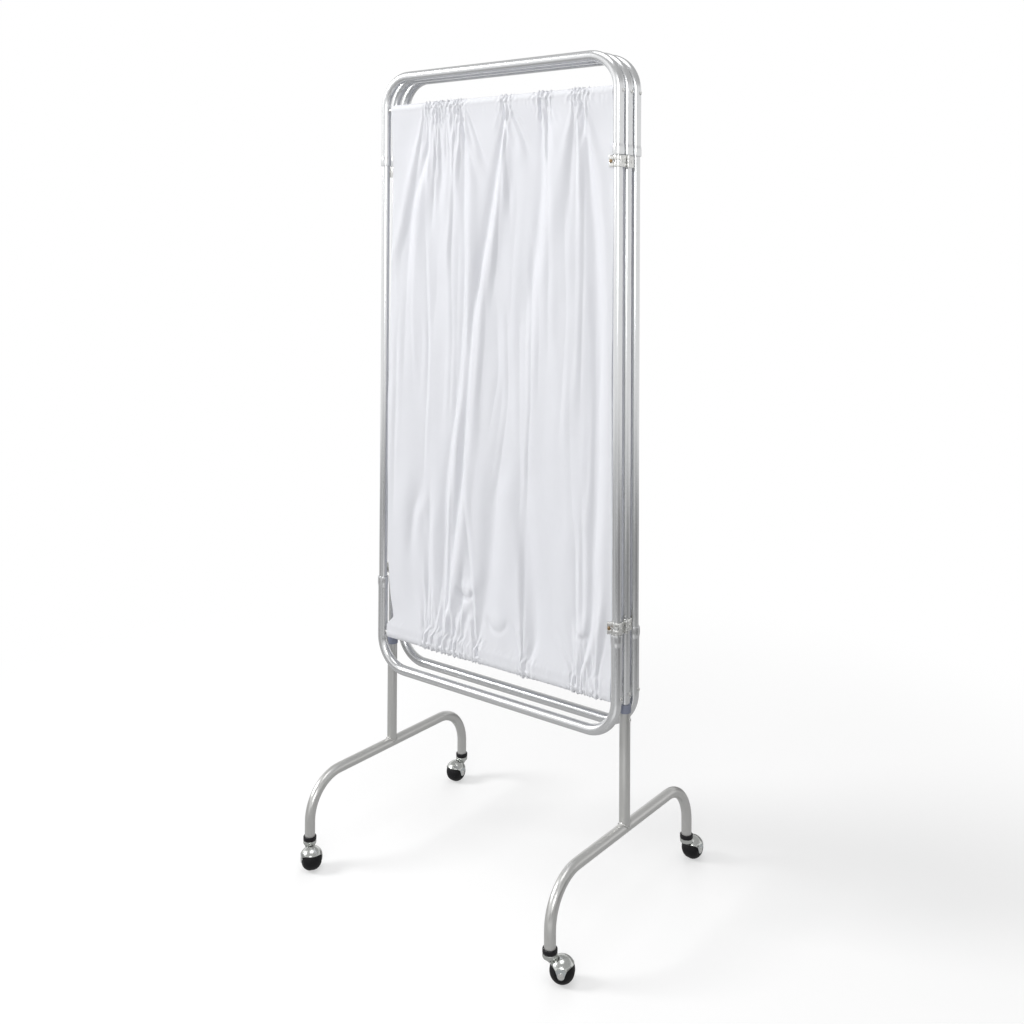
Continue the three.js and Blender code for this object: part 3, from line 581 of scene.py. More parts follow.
def strap(low, high):
    """Band round the tube, split at the ears, whose corners are rounded in their own outline."""
    half_slit = EAR_SLIT / 2
    inner_turn = math.asin(half_slit / STRAP_INNER)
    outer_turn = math.asin((half_slit + STRAP_THICKNESS) / STRAP_OUTER)
    full = 2 * math.pi
    inner = arc(STRAP_INNER, full - inner_turn, inner_turn, STRAP_STEPS)
    outer = arc(STRAP_OUTER, outer_turn, full - outer_turn, STRAP_STEPS)
    round_off = 0.5 * MM
    ear_face = half_slit + STRAP_THICKNESS
    first_ear = [(EAR_REACH - round_off, ear_face), (EAR_REACH, ear_face - round_off),
                 (EAR_REACH, half_slit + round_off / 2), (EAR_REACH - round_off / 2, half_slit)]
    last_ear = [(x, -y) for x, y in reversed(first_ear)]
    outline = inner + list(reversed(first_ear)) + outer + list(reversed(last_ear))
    return slab(outline, low, high).moved(Matrix.Rotation(EAR_ANGLE, 4, "Z"))


# Turns a slab's outline (y, z) with its thickness along X
UPRIGHT = Matrix(((0, 0, 1, 0), (1, 0, 0, 0), (0, 1, 0, 0), (0, 0, 0, 1)))
PIN_Y = FRAME_SPACING / 2
SPLIT = HINGE_HALF / 3


def knuckle_bands(owns_middle):
    """Low and high ends of a leaf's share of the knuckle: the middle third, or the two outer ones."""
    return [(-SPLIT, SPLIT)] if owns_middle else [(-HINGE_HALF, -SPLIT), (SPLIT, HINGE_HALF)]


def leaf_plate(owns_middle):
    """Plate on the tube's outer side, notched round the other leaf's share of the knuckle."""
    back = PIN_Y - KNUCKLE_RADIUS - NOTCH_CLEARANCE
    bands = knuckle_bands(owns_middle)
    tail = [(-LEAF_TAIL + LEAF_CORNER * (1 - sine), -HINGE_HALF + LEAF_CORNER * (1 - cosine))
            for sine, cosine in quarter(4)]
    outline = [(back, -HINGE_HALF)] if owns_middle else []
    edge = []
    for low, high in bands:
        low_edge = low if low <= -HINGE_HALF else low + KNUCKLE_GAP / 2
        high_edge = high if high >= HINGE_HALF else high - KNUCKLE_GAP / 2
        if low > -HINGE_HALF:
            edge.append((back, low_edge))
        edge += [(PIN_Y, low_edge), (PIN_Y, high_edge)]
        if high < HINGE_HALF:
            edge.append((back, high_edge))
    outline += edge + ([(back, HINGE_HALF)] if owns_middle else [])
    outline += [(y, -z) for y, z in tail] + list(reversed(tail))
    return slab(outline, STRAP_INNER, STRAP_OUTER).moved(UPRIGHT)


def knuckles(owns_middle):
    """A leaf's share of the knuckle, round the pin."""
    shape = Shape()
    for low, high in knuckle_bands(owns_middle):
        bottom = low + (KNUCKLE_GAP / 2 if low > -HINGE_HALF else 0)
        top = high - (KNUCKLE_GAP / 2 if high < HINGE_HALF else 0)
        shape.plus(lathe(rounded(bottom, top, KNUCKLE_RADIUS, 0.3 * MM, 3), SMALL_SIDES))
    return shape.moved(Matrix.Translation((PIN_OUT, PIN_Y, 0)))


def dome(radius, rise):
    """Round head with a short upright rim, along +Z from height zero."""
    rim = 0.4
    profile = [(radius, 0), (radius, rim * rise)]
    profile += [(radius * cosine, rise * (rim + (1 - rim) * sine)) for sine, cosine in quarter(8)[1:]]
    return lathe(profile, SMALL_SIDES)


def ear_place(offset):
    """Centre line of the clamp bolt, offset along it from the middle of the slit."""
    across = Vector((math.cos(EAR_ANGLE), math.sin(EAR_ANGLE), 0))
    along = Vector((-math.sin(EAR_ANGLE), math.cos(EAR_ANGLE), 0))
    middle = (STRAP_OUTER + EAR_REACH) / 2 + 0.3 * MM
    return facing(across * middle + along * offset, along if offset > 0 else -along)


def nut():
    """Hexagon nut along +Z from height zero."""
    outline = [(NUT_RADIUS * math.cos(turn), NUT_RADIUS * math.sin(turn))
               for turn in (math.pi / 3 * corner for corner in range(6))]
    return slab(outline, 0, NUT_HEIGHT, 0.3 * MM)


def bolt_head():
    """Round head with a sunk drive: rim, rounded shoulder, flat top and recess."""
    profile = [(3.4, 0), (3.5, 0.3), (3.5, 1.7), (3.2, 2.3), (2.7, 2.6), (1.7, 2.6), (1.6, 2.3), (1.3, 1.0),
               (0, 0.9)]
    return lathe([(radius * MM, height * MM) for radius, height in profile], SMALL_SIDES)


def hinge_leaf(node, owns_middle, place):
    """One leaf with its bands, nut and rivet, and the golden bolt head beside them. The frame's leaf
    has one broad band and the wing's leaf two narrow ones."""
    straps = [(-HINGE_HALF, HINGE_HALF)]
    if not owns_middle:
        straps = [(-HINGE_HALF, -BAND_GAP / 2), (BAND_GAP / 2, HINGE_HALF)]
    shape = leaf_plate(owns_middle).plus(knuckles(owns_middle))
    for low, high in straps:
        shape.plus(strap(low, high))
    face = EAR_SLIT / 2 + STRAP_THICKNESS
    shape.plus(nut().moved(ear_place(-face)))
    rivet_seat = facing((STRAP_OUTER - HEAD_SUNK, 0, 0), X_AXIS)
    shape.plus(dome(3.1 * MM, 1.4 * MM).moved(rivet_seat))
    if owns_middle:
        peened = facing((PIN_OUT + KNUCKLE_RADIUS - 0.3 * MM, PIN_Y, 0), X_AXIS)
        shape.plus(dome(1.9 * MM, 0.9 * MM).moved(peened))
    dress(node, shape.moved(place), ZINC)
    dress(node, bolt_head().moved(place @ ear_place(face)), GOLD_ZINC, "bolt")


def hinge_pin():
    """Pin with a flat head below the knuckle and a peened one above it."""
    half = HINGE_HALF + SEAT_GAP
    profile = [(0, -half - 1.1 * MM), (2.2 * MM, -half - 1.1 * MM), (PIN_HEAD_RADIUS, -half - 0.7 * MM),
               (PIN_HEAD_RADIUS, -half), (PIN_RADIUS, -half), (PIN_RADIUS, half), (PIN_HEAD_RADIUS, half),
               (2.4 * MM, half + 0.5 * MM), (1.3 * MM, half + 1.1 * MM), (0, half + 1.2 * MM)]
    return lathe(profile, 24)


AT_WING_TUBE = Matrix.Translation((HALF_SPACING, -FRAME_SPACING, 0))
AT_MIDDLE_TUBE = Matrix.Translation((HALF_SPACING, 0, 0)) @ Matrix.Rotation(math.pi, 4, "X")
for side_name, turn in (("right", Matrix.Identity(4)), ("left", HALF_TURN)):
    for storey in ("lower", "upper"):
        hinge = f"{side_name}_{storey}_hinge"
        place = AT_MIDDLE @ turn @ Matrix.Translation((0, 0, level(f"{hinge}_frame_leaf")))
        hinge_leaf(f"{hinge}_wing_leaf", False, place @ AT_WING_TUBE)
        hinge_leaf(f"{hinge}_frame_leaf", True, place @ AT_MIDDLE_TUBE)
        at_pin = place @ AT_WING_TUBE @ Matrix.Translation((PIN_OUT, PIN_Y, 0))
        dress(f"{hinge}_pin", hinge_pin().moved(at_pin), ZINC)


# Casters, built with the swivel's axis at the origin and the ball trailing towards +X. Where each
# one stands and points is read from the joints.
JOINTS = {joint["name"]: Vector(joint["pos_m"]) for joint in frame["joints"]}
WHEEL_RADIUS = JOINTS["left_front_wheel_spin"].z
CASTER_TRAIL = (JOINTS["left_front_wheel_spin"] - JOINTS["left_front_caster_swivel"]).to_2d().length
BALL_CENTRE = Vector((CASTER_TRAIL, 0, WHEEL_RADIUS))
FERRULE_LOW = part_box("left_front_caster_socket")[0].z
SLEEVE_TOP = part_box("left_front_caster_socket")[1].z
CUP_TOP = FERRULE_LOW - SEAT_GAP
CUP_RADIUS = 14.2 * MM
FERRULE_HEIGHT = 8 * MM
RIM_RISE = 12.5 * MM
TONGUE_TIP = 7 * MM
HOOD_ROWS = 26
HOOD_QUARTER_COLUMNS = 40
# How strongly the hood's columns crowd towards its tongues
COLUMN_CROWDING = 1.6
# The share of what stands beyond the hood's flat that is pressed back to it
PRESSED_FLAT = 0.96
# A column of the hood is followed down in steps of this pitch, to this pitch at most, in radians
PITCH_STEP, LOWEST_PITCH = 0.002, -0.5
# The swivel cup's sections from the top down, in mm: height, centre, half length and half width
CUP_SECTIONS = [(52, 0, 13.6, 13.6), (51.6, 0, 14.1, 14.1), (51, 0, 14.2, 14.2), (46.5, 0, 14.2, 14.2),
                (45, 0, 13.9, 13.9), (43.8, 0, 13.2, 13.2), (42.9, 0.1, 12, 12.2), (42.2, 0.4, 10.6, 11.4),
                (40.6, 1.4, 8.8, 10.9), (38.8, 2.6, 6.6, 10.4), (37, 3.8, 4.4, 9.9), (35.6, 4.8, 2.6, 9.4),
                (34.9, 5.2, 1.6, 9)]


def ball():
    """Round in both directions with a narrow flat tread, flat sides, and a shallow dished hub."""
    flat_radius = math.sqrt(WHEEL_RADIUS ** 2 - WHEEL_HALF_WIDTH ** 2)
    widest = math.acos(flat_radius / WHEEL_RADIUS)
    tread = 3 * MM
    steps = 14
    half = [(3.4 * MM, -WHEEL_HALF_WIDTH + 1.2 * MM), (7 * MM, -WHEEL_HALF_WIDTH + 1 * MM),
            (8.2 * MM, -WHEEL_HALF_WIDTH), (flat_radius - 0.6 * MM, -WHEEL_HALF_WIDTH)]
    for step in range(steps + 1):
        turn = widest * (1 - step / steps)
        offset = tread + (WHEEL_HALF_WIDTH - tread) * math.sin(turn) / math.sin(widest)
        half.append((WHEEL_RADIUS * math.cos(turn), -offset))
    profile = half + [(radius, -offset) for radius, offset in reversed(half)]
    return lathe(profile, 72, Y_AXIS, X_AXIS).moved(Matrix.Translation(BALL_CENTRE))


def tongue_half_width(rise):
    """Half width of the hood's tongue at a rise over the axle: narrow at the tip, wide at the rim."""
    if rise < 0:
        return math.sqrt(max(TONGUE_TIP ** 2 - rise ** 2, 0))
    share = rise / RIM_RISE
    return TONGUE_TIP + 4.6 * MM * share + 6 * MM * share ** 7


def hood_turns():
    """Turns of the hood's columns, closer together at the tongues, where their ends change fast."""
    turns = []
    for side in range(4):
        for step in range(HOOD_QUARTER_COLUMNS):
            share = step / HOOD_QUARTER_COLUMNS
            lean = share ** COLUMN_CROWDING if side % 2 else 1 - (1 - share) ** COLUMN_CROWDING
            turns.append(math.pi / 2 * (side + lean))
    return turns


def lowest_pitch(turn):
    """How far down a column of the hood runs before the rim or the tongue's edge ends it."""
    lowest = math.pi / 2
    while lowest > LOWEST_PITCH:
        rise = HOOD_RADIUS * math.sin(lowest)
        offset = abs(HOOD_RADIUS * math.cos(lowest) * math.cos(turn))
        if rise < RIM_RISE and offset > tongue_half_width(rise):
            break
        lowest -= PITCH_STEP
    return lowest


def hood():
    """Shell of a ball with flattened sides, cut level at its rim, with a tongue down either side."""
    columns = []
    for turn in hood_turns():
        lowest = lowest_pitch(turn)
        column = []
        for row in range(HOOD_ROWS + 1):
            pitch = math.pi / 2 - 0.001 - (math.pi / 2 - lowest) * row / HOOD_ROWS
            out = HOOD_RADIUS * math.cos(pitch)
            across = out * math.sin(turn)
            over = max(abs(across) - HOOD_FLAT, 0)
            across = math.copysign(abs(across) - over * PRESSED_FLAT, across)
            rise = HOOD_RADIUS * math.sin(pitch)
            column.append(BALL_CENTRE + Vector((out * math.cos(turn), across, rise)))
        columns.append(column)
    rings = [[column[row] for column in columns] for row in range(HOOD_ROWS + 1)]
    return Shape().loft(rings, capped=(True, False))


def push_clear(shape):
    """Move points that would stand in the ball's room out to the hood's inside."""
    for index, point in enumerate(shape.points):
        reach = point - BALL_CENTRE
        if reach.length < HOOD_CLEARANCE:
            shape.points[index] = BALL_CENTRE + reach.normalized() * HOOD_CLEARANCE
    return shape


def swivel_cup():
    """Cup under the ferrule, drawn down into a slanted neck that meets the hood's rim, and the stem."""
    top = CUP_SECTIONS[0][0] * MM
    sides = 64
    rings = []
    for height, centre, reach, width in CUP_SECTIONS:
        ring = []
        for side in range(sides):
            turn = 2 * math.pi * side / sides
            along = (centre + reach * math.cos(turn)) * MM
            ring.append(Vector((along, width * MM * math.sin(turn), height * MM - top + CUP_TOP)))
        rings.append(ring)
    cup = push_clear(Shape().loft(rings, capped=(True, True)))
    stem = lathe(rounded(CUP_TOP - 1 * MM, CUP_TOP + STEM_LENGTH, STEM_RADIUS, 0.4 * MM), 24)
    return cup.plus(stem)


def caster_socket():
    """Ferrule with rounded edges outside the leg's end, and the sleeve inside it."""
    top = FERRULE_LOW + FERRULE_HEIGHT
    edge = 1.2 * MM
    leg_seat = LEG_END - 0.2 * MM
    around_leg = BOW_RADIUS + 0.15 * MM
    profile = [(STEM_BORE, FERRULE_LOW)]
    profile += [(CUP_RADIUS - edge * (1 - up), FERRULE_LOW + edge * (1 - out)) for up, out in quarter(5)]
    profile += [(CUP_RADIUS - edge * (1 - out), top - edge * (1 - up)) for up, out in quarter(5)]
    profile += [(around_leg, top), (around_leg, leg_seat), (SLEEVE_RADIUS, leg_seat),
                (SLEEVE_RADIUS, SLEEVE_TOP), (STEM_BORE, SLEEVE_TOP)]
    return lathe(profile, 56)


def axle():
    """Pin whose ends are set over into wide flat rivet heads on the tongues."""
    face = -HOOD_FLAT
    half = [(0, face - 0.8 * MM), (4.6 * MM, face - 0.8 * MM), (5.7 * MM, face - 0.55 * MM),
            (6 * MM, face - 0.3 * MM), (6 * MM, face + 0.2 * MM), (3 * MM, face + 0.2 * MM)]
    profile = half + [(radius, -place) for radius, place in reversed(half)]
    return lathe(profile, 40, Y_AXIS, X_AXIS).moved(Matrix.Translation(BALL_CENTRE))


def dress_hood(node, place):
    """The dome is polished and the tongues' flat faces satin, and the shell has its wall inwards."""
    shape = hood()
    flat = [all(abs(shape.points[c].y) > HOOD_FLAT - 0.2 * MM for c in face) for face in shape.faces]
    made = dress(node, shape.moved(place), CHROME, sharp=50)
    made.data.materials.append(SATIN)
    for face, is_flat in zip(made.data.polygons, flat):
        face.material_index = int(is_flat)
    shell = made.modifiers.new("wall", "SOLIDIFY")
    shell.thickness = HOOD_WALL
    shell.offset = -1


for corner_name in ("left_front", "left_rear", "right_front", "right_rear"):
    stem_at = JOINTS[f"{corner_name}_caster_swivel"]
    trail = JOINTS[f"{corner_name}_wheel_spin"] - stem_at
    at_corner = Matrix.Translation((stem_at.x, stem_at.y, 0))
    turned = at_corner @ Matrix.Rotation(math.atan2(trail.y, trail.x), 4, "Z")
    dress(f"{corner_name}_caster_socket", caster_socket().moved(at_corner), BLACK)
    dress_hood(f"{corner_name}_caster_hood", turned)
    dress(f"{corner_name}_caster_hood", swivel_cup().moved(turned), CHROME, "swivel")
    dress(f"{corner_name}_caster_axle", axle().moved(turned), ZINC)
    dress(f"{corner_name}_caster_wheel", ball().moved(turned), RUBBER)


# Curtains: a height field towards the viewer over each frame, drawn in at two stitched casings
CURTAIN_HALF = HALF_SPACING - 13.5 * MM
# From each rod's axis to its stitch line
TOP_CASING, LOW_CASING = 13 * MM, 19 * MM
TOP_STITCH = TOP_ROD - TOP_CASING
LOW_STITCH = BOTTOM_ROD + LOW_CASING
# Section of a casing over its rod, in mm: from the front, over the edge and down the back. The stitch
# line closes it at both ends, and its back end stands this far behind its front end or the rod's
# plane, whichever is nearer the viewer.
CASING_BACK = 1.2
CASING_SECTION = [(-5, -6), (-5.2, -2), (-5.1, 2), (-4.6, 5), (-3.5, 8), (-1.8, 10.4), (0, 11.2),
                  (1.8, 10.4), (3.5, 8), (4.6, 5), (5.2, 0), (5, -5)]
# Folds leave a casing narrow and reach their full width this far from it
OPENING_LENGTH = 170 * MM
TIGHT_SHARE = 0.3
# A fold that ends in the cloth widens and dies away over this length
FADE_LENGTH = 150 * MM
# The casing's cloth stays this far from the rod's axis
CASING_CLEARANCE = 4.6 * MM
# A fold whose run ends this near a stitch line doesn't fade there
JOINS_CASING = 30 * MM
# How far past its run a fold may still reach
OVERRUN = 12 * MM
# A fold's section: its valley's sharpness, and its crest's place and width in half widths
VALLEY_SHARPNESS, CREST_PLACE, CREST_WIDTH = 1.8, 1.55, 1.05
# A fold's depth grows with this power of the share that it is open
DEEPENING = 0.55
# The cloth leaves a casing near its front
CASING_STEP = 4.7 * MM
# Length of one puff along a gathered casing
PUFF_LENGTH = 11 * MM
# Low waves over the whole cloth: how many, then length across, length down and height in mm
LONG_WAVES = (7, 190, 2400, 2.0)
SHORT_WAVES = (9, 62, 900, 0.8)
# Small dents, which the casings don't calm as they do the waves
DENTS = (12, 90, 200, 0.4)
HAIRLINES = 26
# A casing's unevenness: the share by which ripples swell it, and in mm its creases, and the ripples
# and creases of its outer edge
CASING_SWELL, CASING_CREASES, EDGE_RIPPLES, EDGE_CREASES = 0.34, 2.0, 3.0, 2.2
# Rows are closer together at the casings: shares of a crowded and an even spacing
CROWDED, EVEN = 0.55, 0.45


def closed_section(front, stitch):
    """A casing's section with the stitch line at both ends, in mm; front is its depth there."""
    return [(-front, -stitch / MM)] + CASING_SECTION + [(CASING_BACK, -stitch / MM)]


def smooth(share):
    """Ease from 0 to 1, flat at both ends."""
    share = np.clip(share, 0, 1)
    return share * share * (3 - 2 * share)


class Fold:
    """One fold: points (across, height) in mm down its run, its half width and depth in mm,
    and the side (+1 right, -1 left) on which a crest stands beside its valley."""

    def __init__(self, points, width, depth, crest_side=1, crest_share=0.7):
        self.points = points
        self.width = width
        self.depth = depth
        self.crest_side = crest_side
        self.crest_share = crest_share

    def field(self, across, height):
        """Depth that the fold adds at each point of the cloth."""
        run = self.points[::-1]
        heights = np.array([z for _, z in run]) * MM
        places = np.array([x for x, _ in run]) * MM
        length = heights[-1] - heights[0]
        fine = np.linspace(heights[0], heights[-1], 200)
        line = np.interp(fine, heights, places)
        soft = 24
        below = 2 * line[0] - line[soft:0:-1]
        above = 2 * line[-1] - line[-2:-soft - 2:-1]
        window = np.hanning(2 * soft + 1)
        line = np.convolve(np.concatenate([below, line, above]), window / window.sum(), "valid")
        centre = np.interp(height, fine, line)
        fade = min(FADE_LENGTH, 0.5 * length)
        low_end = 1.0 if heights[0] < LOW_STITCH + JOINS_CASING else 0.0
        high_end = 1.0 if heights[-1] > TOP_STITCH - JOINS_CASING else 0.0
        rise = np.clip((height - heights[0]) / fade, low_end, 1)
        fall = np.clip((heights[-1] - height) / fade, high_end, 1)
        inside = (height > heights[0] - OVERRUN) & (height < heights[-1] + OVERRUN)
        nearest = np.minimum(TOP_STITCH - height, height - LOW_STITCH)
        opened = TIGHT_SHARE + (1 - TIGHT_SHARE) * smooth(nearest / OPENING_LENGTH)
        ended = smooth(rise) * smooth(fall)
        offset = (across - centre) / (self.width * MM * opened * (2 - ended))
        valley = -1 / (1 + offset ** 2) ** VALLEY_SHARPNESS
        crest_offset = (offset - CREST_PLACE * self.crest_side) / CREST_WIDTH
        crest = self.crest_share * np.exp(-crest_offset ** 2)
        return self.depth * MM * opened ** DEEPENING * inside * ended * (valley + crest)


def fans(gathers, stitch, way, rng):
    """Creases that spread from each gather like a fan: short, narrow, each at its own angle."""
    made = []
    for place, width in gathers:
        for _ in range(int(rng.integers(3, 6))):
            aside = rng.uniform(-1, 1)
            start = place + 0.9 * aside * width
            lean = 0.22 * aside + rng.normal(0, 0.04)
            length = rng.uniform(35, 190) * (1 - 0.45 * abs(aside))
            end = start + lean * length
            bend = (start + end) / 2 + rng.normal(0, 0.03) * length
            points = [(start, stitch / MM), (bend, stitch / MM + way * length / 2),
                      (end, stitch / MM + way * length)]
            points = points if way < 0 else points[::-1]
            made.append(Fold(points, rng.uniform(7, 13), rng.uniform(1.3, 3.2), rng.choice((-1, 1)), 0.8))
        lean, length = rng.normal(0, 0.07), rng.uniform(200, 480)
        points = [(place, stitch / MM), (place + lean * length, stitch / MM + way * length)]
        points = points if way < 0 else points[::-1]
        made.append(Fold(points, rng.uniform(5, 7.5), rng.uniform(1.4, 2.4), rng.choice((-1, 1)), 0.9))
    return made


def hairlines(rng):
    """Long, narrow, shallow creases that run down the cloth between the folds."""
    made = []
    for index in range(HAIRLINES):
        place = CURTAIN_HALF / MM * (2 * (index + rng.uniform(0, 1)) / HAIRLINES - 1)
        high = rng.uniform(1250, 1600)
        low = high - rng.uniform(300, 800)
        middle = (place + rng.normal(0, 9), (high + low) / 2)
        points = [(place, high), middle, (place + rng.normal(-8, 16), low)]
        made.append(Fold(points, rng.uniform(5, 9), rng.uniform(0.6, 1.4), rng.choice((-1, 1)), 0.9))
    return made


def gather_density(across, gathers):
    """How tightly the cloth is drawn in along a casing, from 0 to 1."""
    total = np.zeros_like(across)
    for place, width in gathers:
        total += np.exp(-((across - place * MM) / (1.6 * width * MM)) ** 2)
    return np.clip(total, 0, 1)


def wrinkles(across, height, rng, count, length, height_length, size):
    """Seeded sum of low waves: soft, broken creases with no repeat."""
    total = np.zeros_like(across)
    for _ in range(count):
        wave_x = 2 * math.pi / (length * MM * rng.uniform(0.7, 1.6)) * rng.choice((-1, 1))
        wave_z = 2 * math.pi / (height_length * MM * rng.uniform(0.6, 1.8))
        phase = rng.uniform(0, 2 * math.pi)
        total += np.sin(wave_x * across + wave_z * height + phase)
    return total * size * MM / math.sqrt(count)


def column_places(gathers):
    """Places of the columns from -1 to 1, closer together where the cloth is drawn in."""
    fine = np.linspace(-1, 1, 4001)
    density = 1 + 1.6 * gather_density(fine * CURTAIN_HALF, gathers)
    travelled = np.concatenate([[0], np.cumsum((density[1:] + density[:-1]) / 2)])
    wanted = np.linspace(0, travelled[-1], CURTAIN_COLUMNS)
    return np.interp(wanted, travelled, fine)


def edge_at(edge, height):
    """Place of a side edge at each height."""
    line = sorted(edge, key=lambda point: point[1])
    return np.interp(height, [z * MM for _, z in line], [x * MM for x, _ in line])


def drawn_in(density, least):
    """From a least share where the cloth is plain to 1 where it is tightly gathered."""
    return least + (1 - least) * density


def ruffle(places, gathers, rng):
    """Tight uneven waves along a casing, strong where the cloth is drawn in, from about -1 to 1."""
    density = gather_density(places, gathers)
    steps = np.concatenate([[0], np.diff(places)])
    drift = np.interp(places, np.linspace(places[0], places[-1], 40), rng.uniform(-1.6, 1.6, 40))
    phase = math.pi * np.cumsum(steps) / PUFF_LENGTH + drift
    puffs = 1.6 * np.abs(np.sin(phase)) ** 0.7 - 1
    fine = 0.3 * np.sin(2.7 * phase + 1) + 0.2 * np.sin(0.63 * phase)
    return drawn_in(density, 0.08) * (0.8 * puffs + fine)


def crinkle(across, height, rng):
    """Short uneven creases running every way, as where stiff sheet is bunched up; from about -1 to 1."""
    total = np.zeros_like(across)
    waves = 14
    for _ in range(waves):
        size, turn = rng.uniform(7, 19) * MM, rng.uniform(-0.9, 0.9)
        phase = 2 * math.pi * (across * math.cos(turn) + height * math.sin(turn)) / size
        total += np.sin(phase + rng.uniform(0, 2 * math.pi) + 1.5 * np.sin(height / (9 * MM) + turn))
    return np.tanh(total / math.sqrt(waves))


def casing_rows(rod_height, up, stitch, places, ripple, density, start_relief, rng):
    """Rows from the stitch line round the rod; up is +1 for the top casing, -1 for the bottom."""
    section = closed_section(float(np.mean(start_relief)) / MM, stitch)
    knots = np.arange(len(section))
    fine = np.linspace(0, len(section) - 1, CASING_ROWS)
    depths = np.interp(fine, knots, [depth for depth, _ in section]) * MM
    rises = np.interp(fine, knots, [rise for _, rise in section]) * MM
    across = np.repeat(places[None, :], CASING_ROWS, axis=0)
    depth, rise = depths[:, None] + 0 * across, rises[:, None] + 0 * across
    ripple, density, start_relief = ripple[None, :], density[None, :], start_relief[None, :]
    opened = np.clip(np.abs(depth) / (4 * MM), 0, 1)
    creases = crinkle(across, rod_height + up * rise * np.sign(-depth), rng)
    depth = depth * (1 + CASING_SWELL * ripple * opened)
    depth -= np.sign(-depths)[:, None] * CASING_CREASES * MM * creases * drawn_in(density, 0.08)
    at_edge = np.clip(rise / (11 * MM), 0, 1)
    rise = rise + (EDGE_RIPPLES * ripple + EDGE_CREASES * creases * drawn_in(density, 0.1)) * MM * at_edge
    reach = np.hypot(depth, rise)
    clear = np.maximum(1, CASING_CLEARANCE / np.maximum(reach, 1e-6))
    depth, rise = depth * clear, rise * clear
    near_stitch = np.clip(1 - fine / 2.0, 0, 1)[:, None]
    depth = depth * (1 - near_stitch) - near_stitch * start_relief
    at_back = np.clip(fine - (len(section) - 2), 0, 1)[:, None]
    depth = depth * (1 - at_back) + at_back * (np.minimum(-start_relief, 0) + CASING_BACK * MM)
    return [[Vector((x, d, rod_height + up * z)) for x, d, z in zip(*row)]
            for row in zip(across, depth, rise)]


def pocket(right, up, radius, depth):
    """A slack bulge that ends below in a sharp U-shaped crease."""
    reach = np.hypot(right, up)
    below = smooth((-up / np.maximum(reach, 1e-6) + 0.35) / 0.9)
    crease = -np.exp(-((reach - radius) / (0.24 * radius)) ** 2) * below
    return depth * (crease + 0.8 * np.exp(-(reach / (0.75 * radius)) ** 2))


def curtain(name, place, top_gathers, low_gathers, folds, seed, left_edge, right_edge, pockets=()):
    """A sheet gathered on its frame's two rods: the bottom casing, the field and the top casing in one
    skin. Gathers are (across, width) in mm and edges (across, height) in mm."""
    rng = np.random.default_rng(seed)
    columns = column_places(top_gathers + low_gathers)
    share = (1 - np.cos(np.linspace(0, math.pi, FIELD_ROWS))) / 2
    share = CROWDED * share + EVEN * np.linspace(0, 1, FIELD_ROWS)
    heights = LOW_STITCH + (TOP_STITCH - LOW_STITCH) * share
    left, right = edge_at(left_edge, heights)[:, None], edge_at(right_edge, heights)[:, None]
    across = left + (right - left) * (columns[None, :] + 1) / 2
    height = np.repeat(heights[:, None], CURTAIN_COLUMNS, axis=1)
    folds = folds + fans(top_gathers, TOP_STITCH, -1, rng) + fans(low_gathers, LOW_STITCH, 1, rng)
    folds += hairlines(rng)
    relief = sum(fold.field(across, height) for fold in folds)
    from_top, from_low = TOP_STITCH - height, height - LOW_STITCH
    calm = smooth(np.minimum(from_top, from_low) / (80 * MM))
    for x, z, radius, depth in pockets:
        relief += pocket(across - x * MM, height - z * MM, radius * MM, depth * MM)
    relief += calm * wrinkles(across, height, rng, *LONG_WAVES)
    relief += calm * wrinkles(across, height, rng, *SHORT_WAVES)
    relief += wrinkles(across, height, rng, *DENTS)
    relief *= 0.45 + 0.55 * smooth(np.minimum(from_top, from_low) / (25 * MM))
    ripples, bunched = [], []
    for row, gathers, away in ((-1, top_gathers, from_top), (0, low_gathers, from_low)):
        ripple = ruffle(across[row], gathers, rng)
        density = gather_density(across[row], gathers)
        ripples.append(ripple)
        bunched.append(density)
        relief += 2.2 * MM * ripple[None, :] * np.exp(-away / (15 * MM))
        creases = crinkle(across, height, rng) * drawn_in(density[None, :], 0.14)
        relief += 2.3 * MM * creases * np.exp(-away / (20 * MM))
        relief += CASING_STEP * np.exp(-away / (38 * MM))
    relief = FOLD_LIMIT * np.tanh(relief / FOLD_LIMIT)
    top = casing_rows(TOP_ROD, 1, TOP_CASING, across[-1], ripples[0], bunched[0], relief[-1], rng)
    low = casing_rows(BOTTOM_ROD, -1, LOW_CASING, across[0], ripples[1], bunched[1], relief[0], rng)
    field = [[Vector((x, -r, z)) for x, r, z in zip(*row)] for row in zip(across, relief, height)]
    shape = Shape().grid(list(reversed(low[1:])) + field + top[1:])
    made = dress(f"{name}_curtain", shape.moved(place), VINYL, sharp=180)


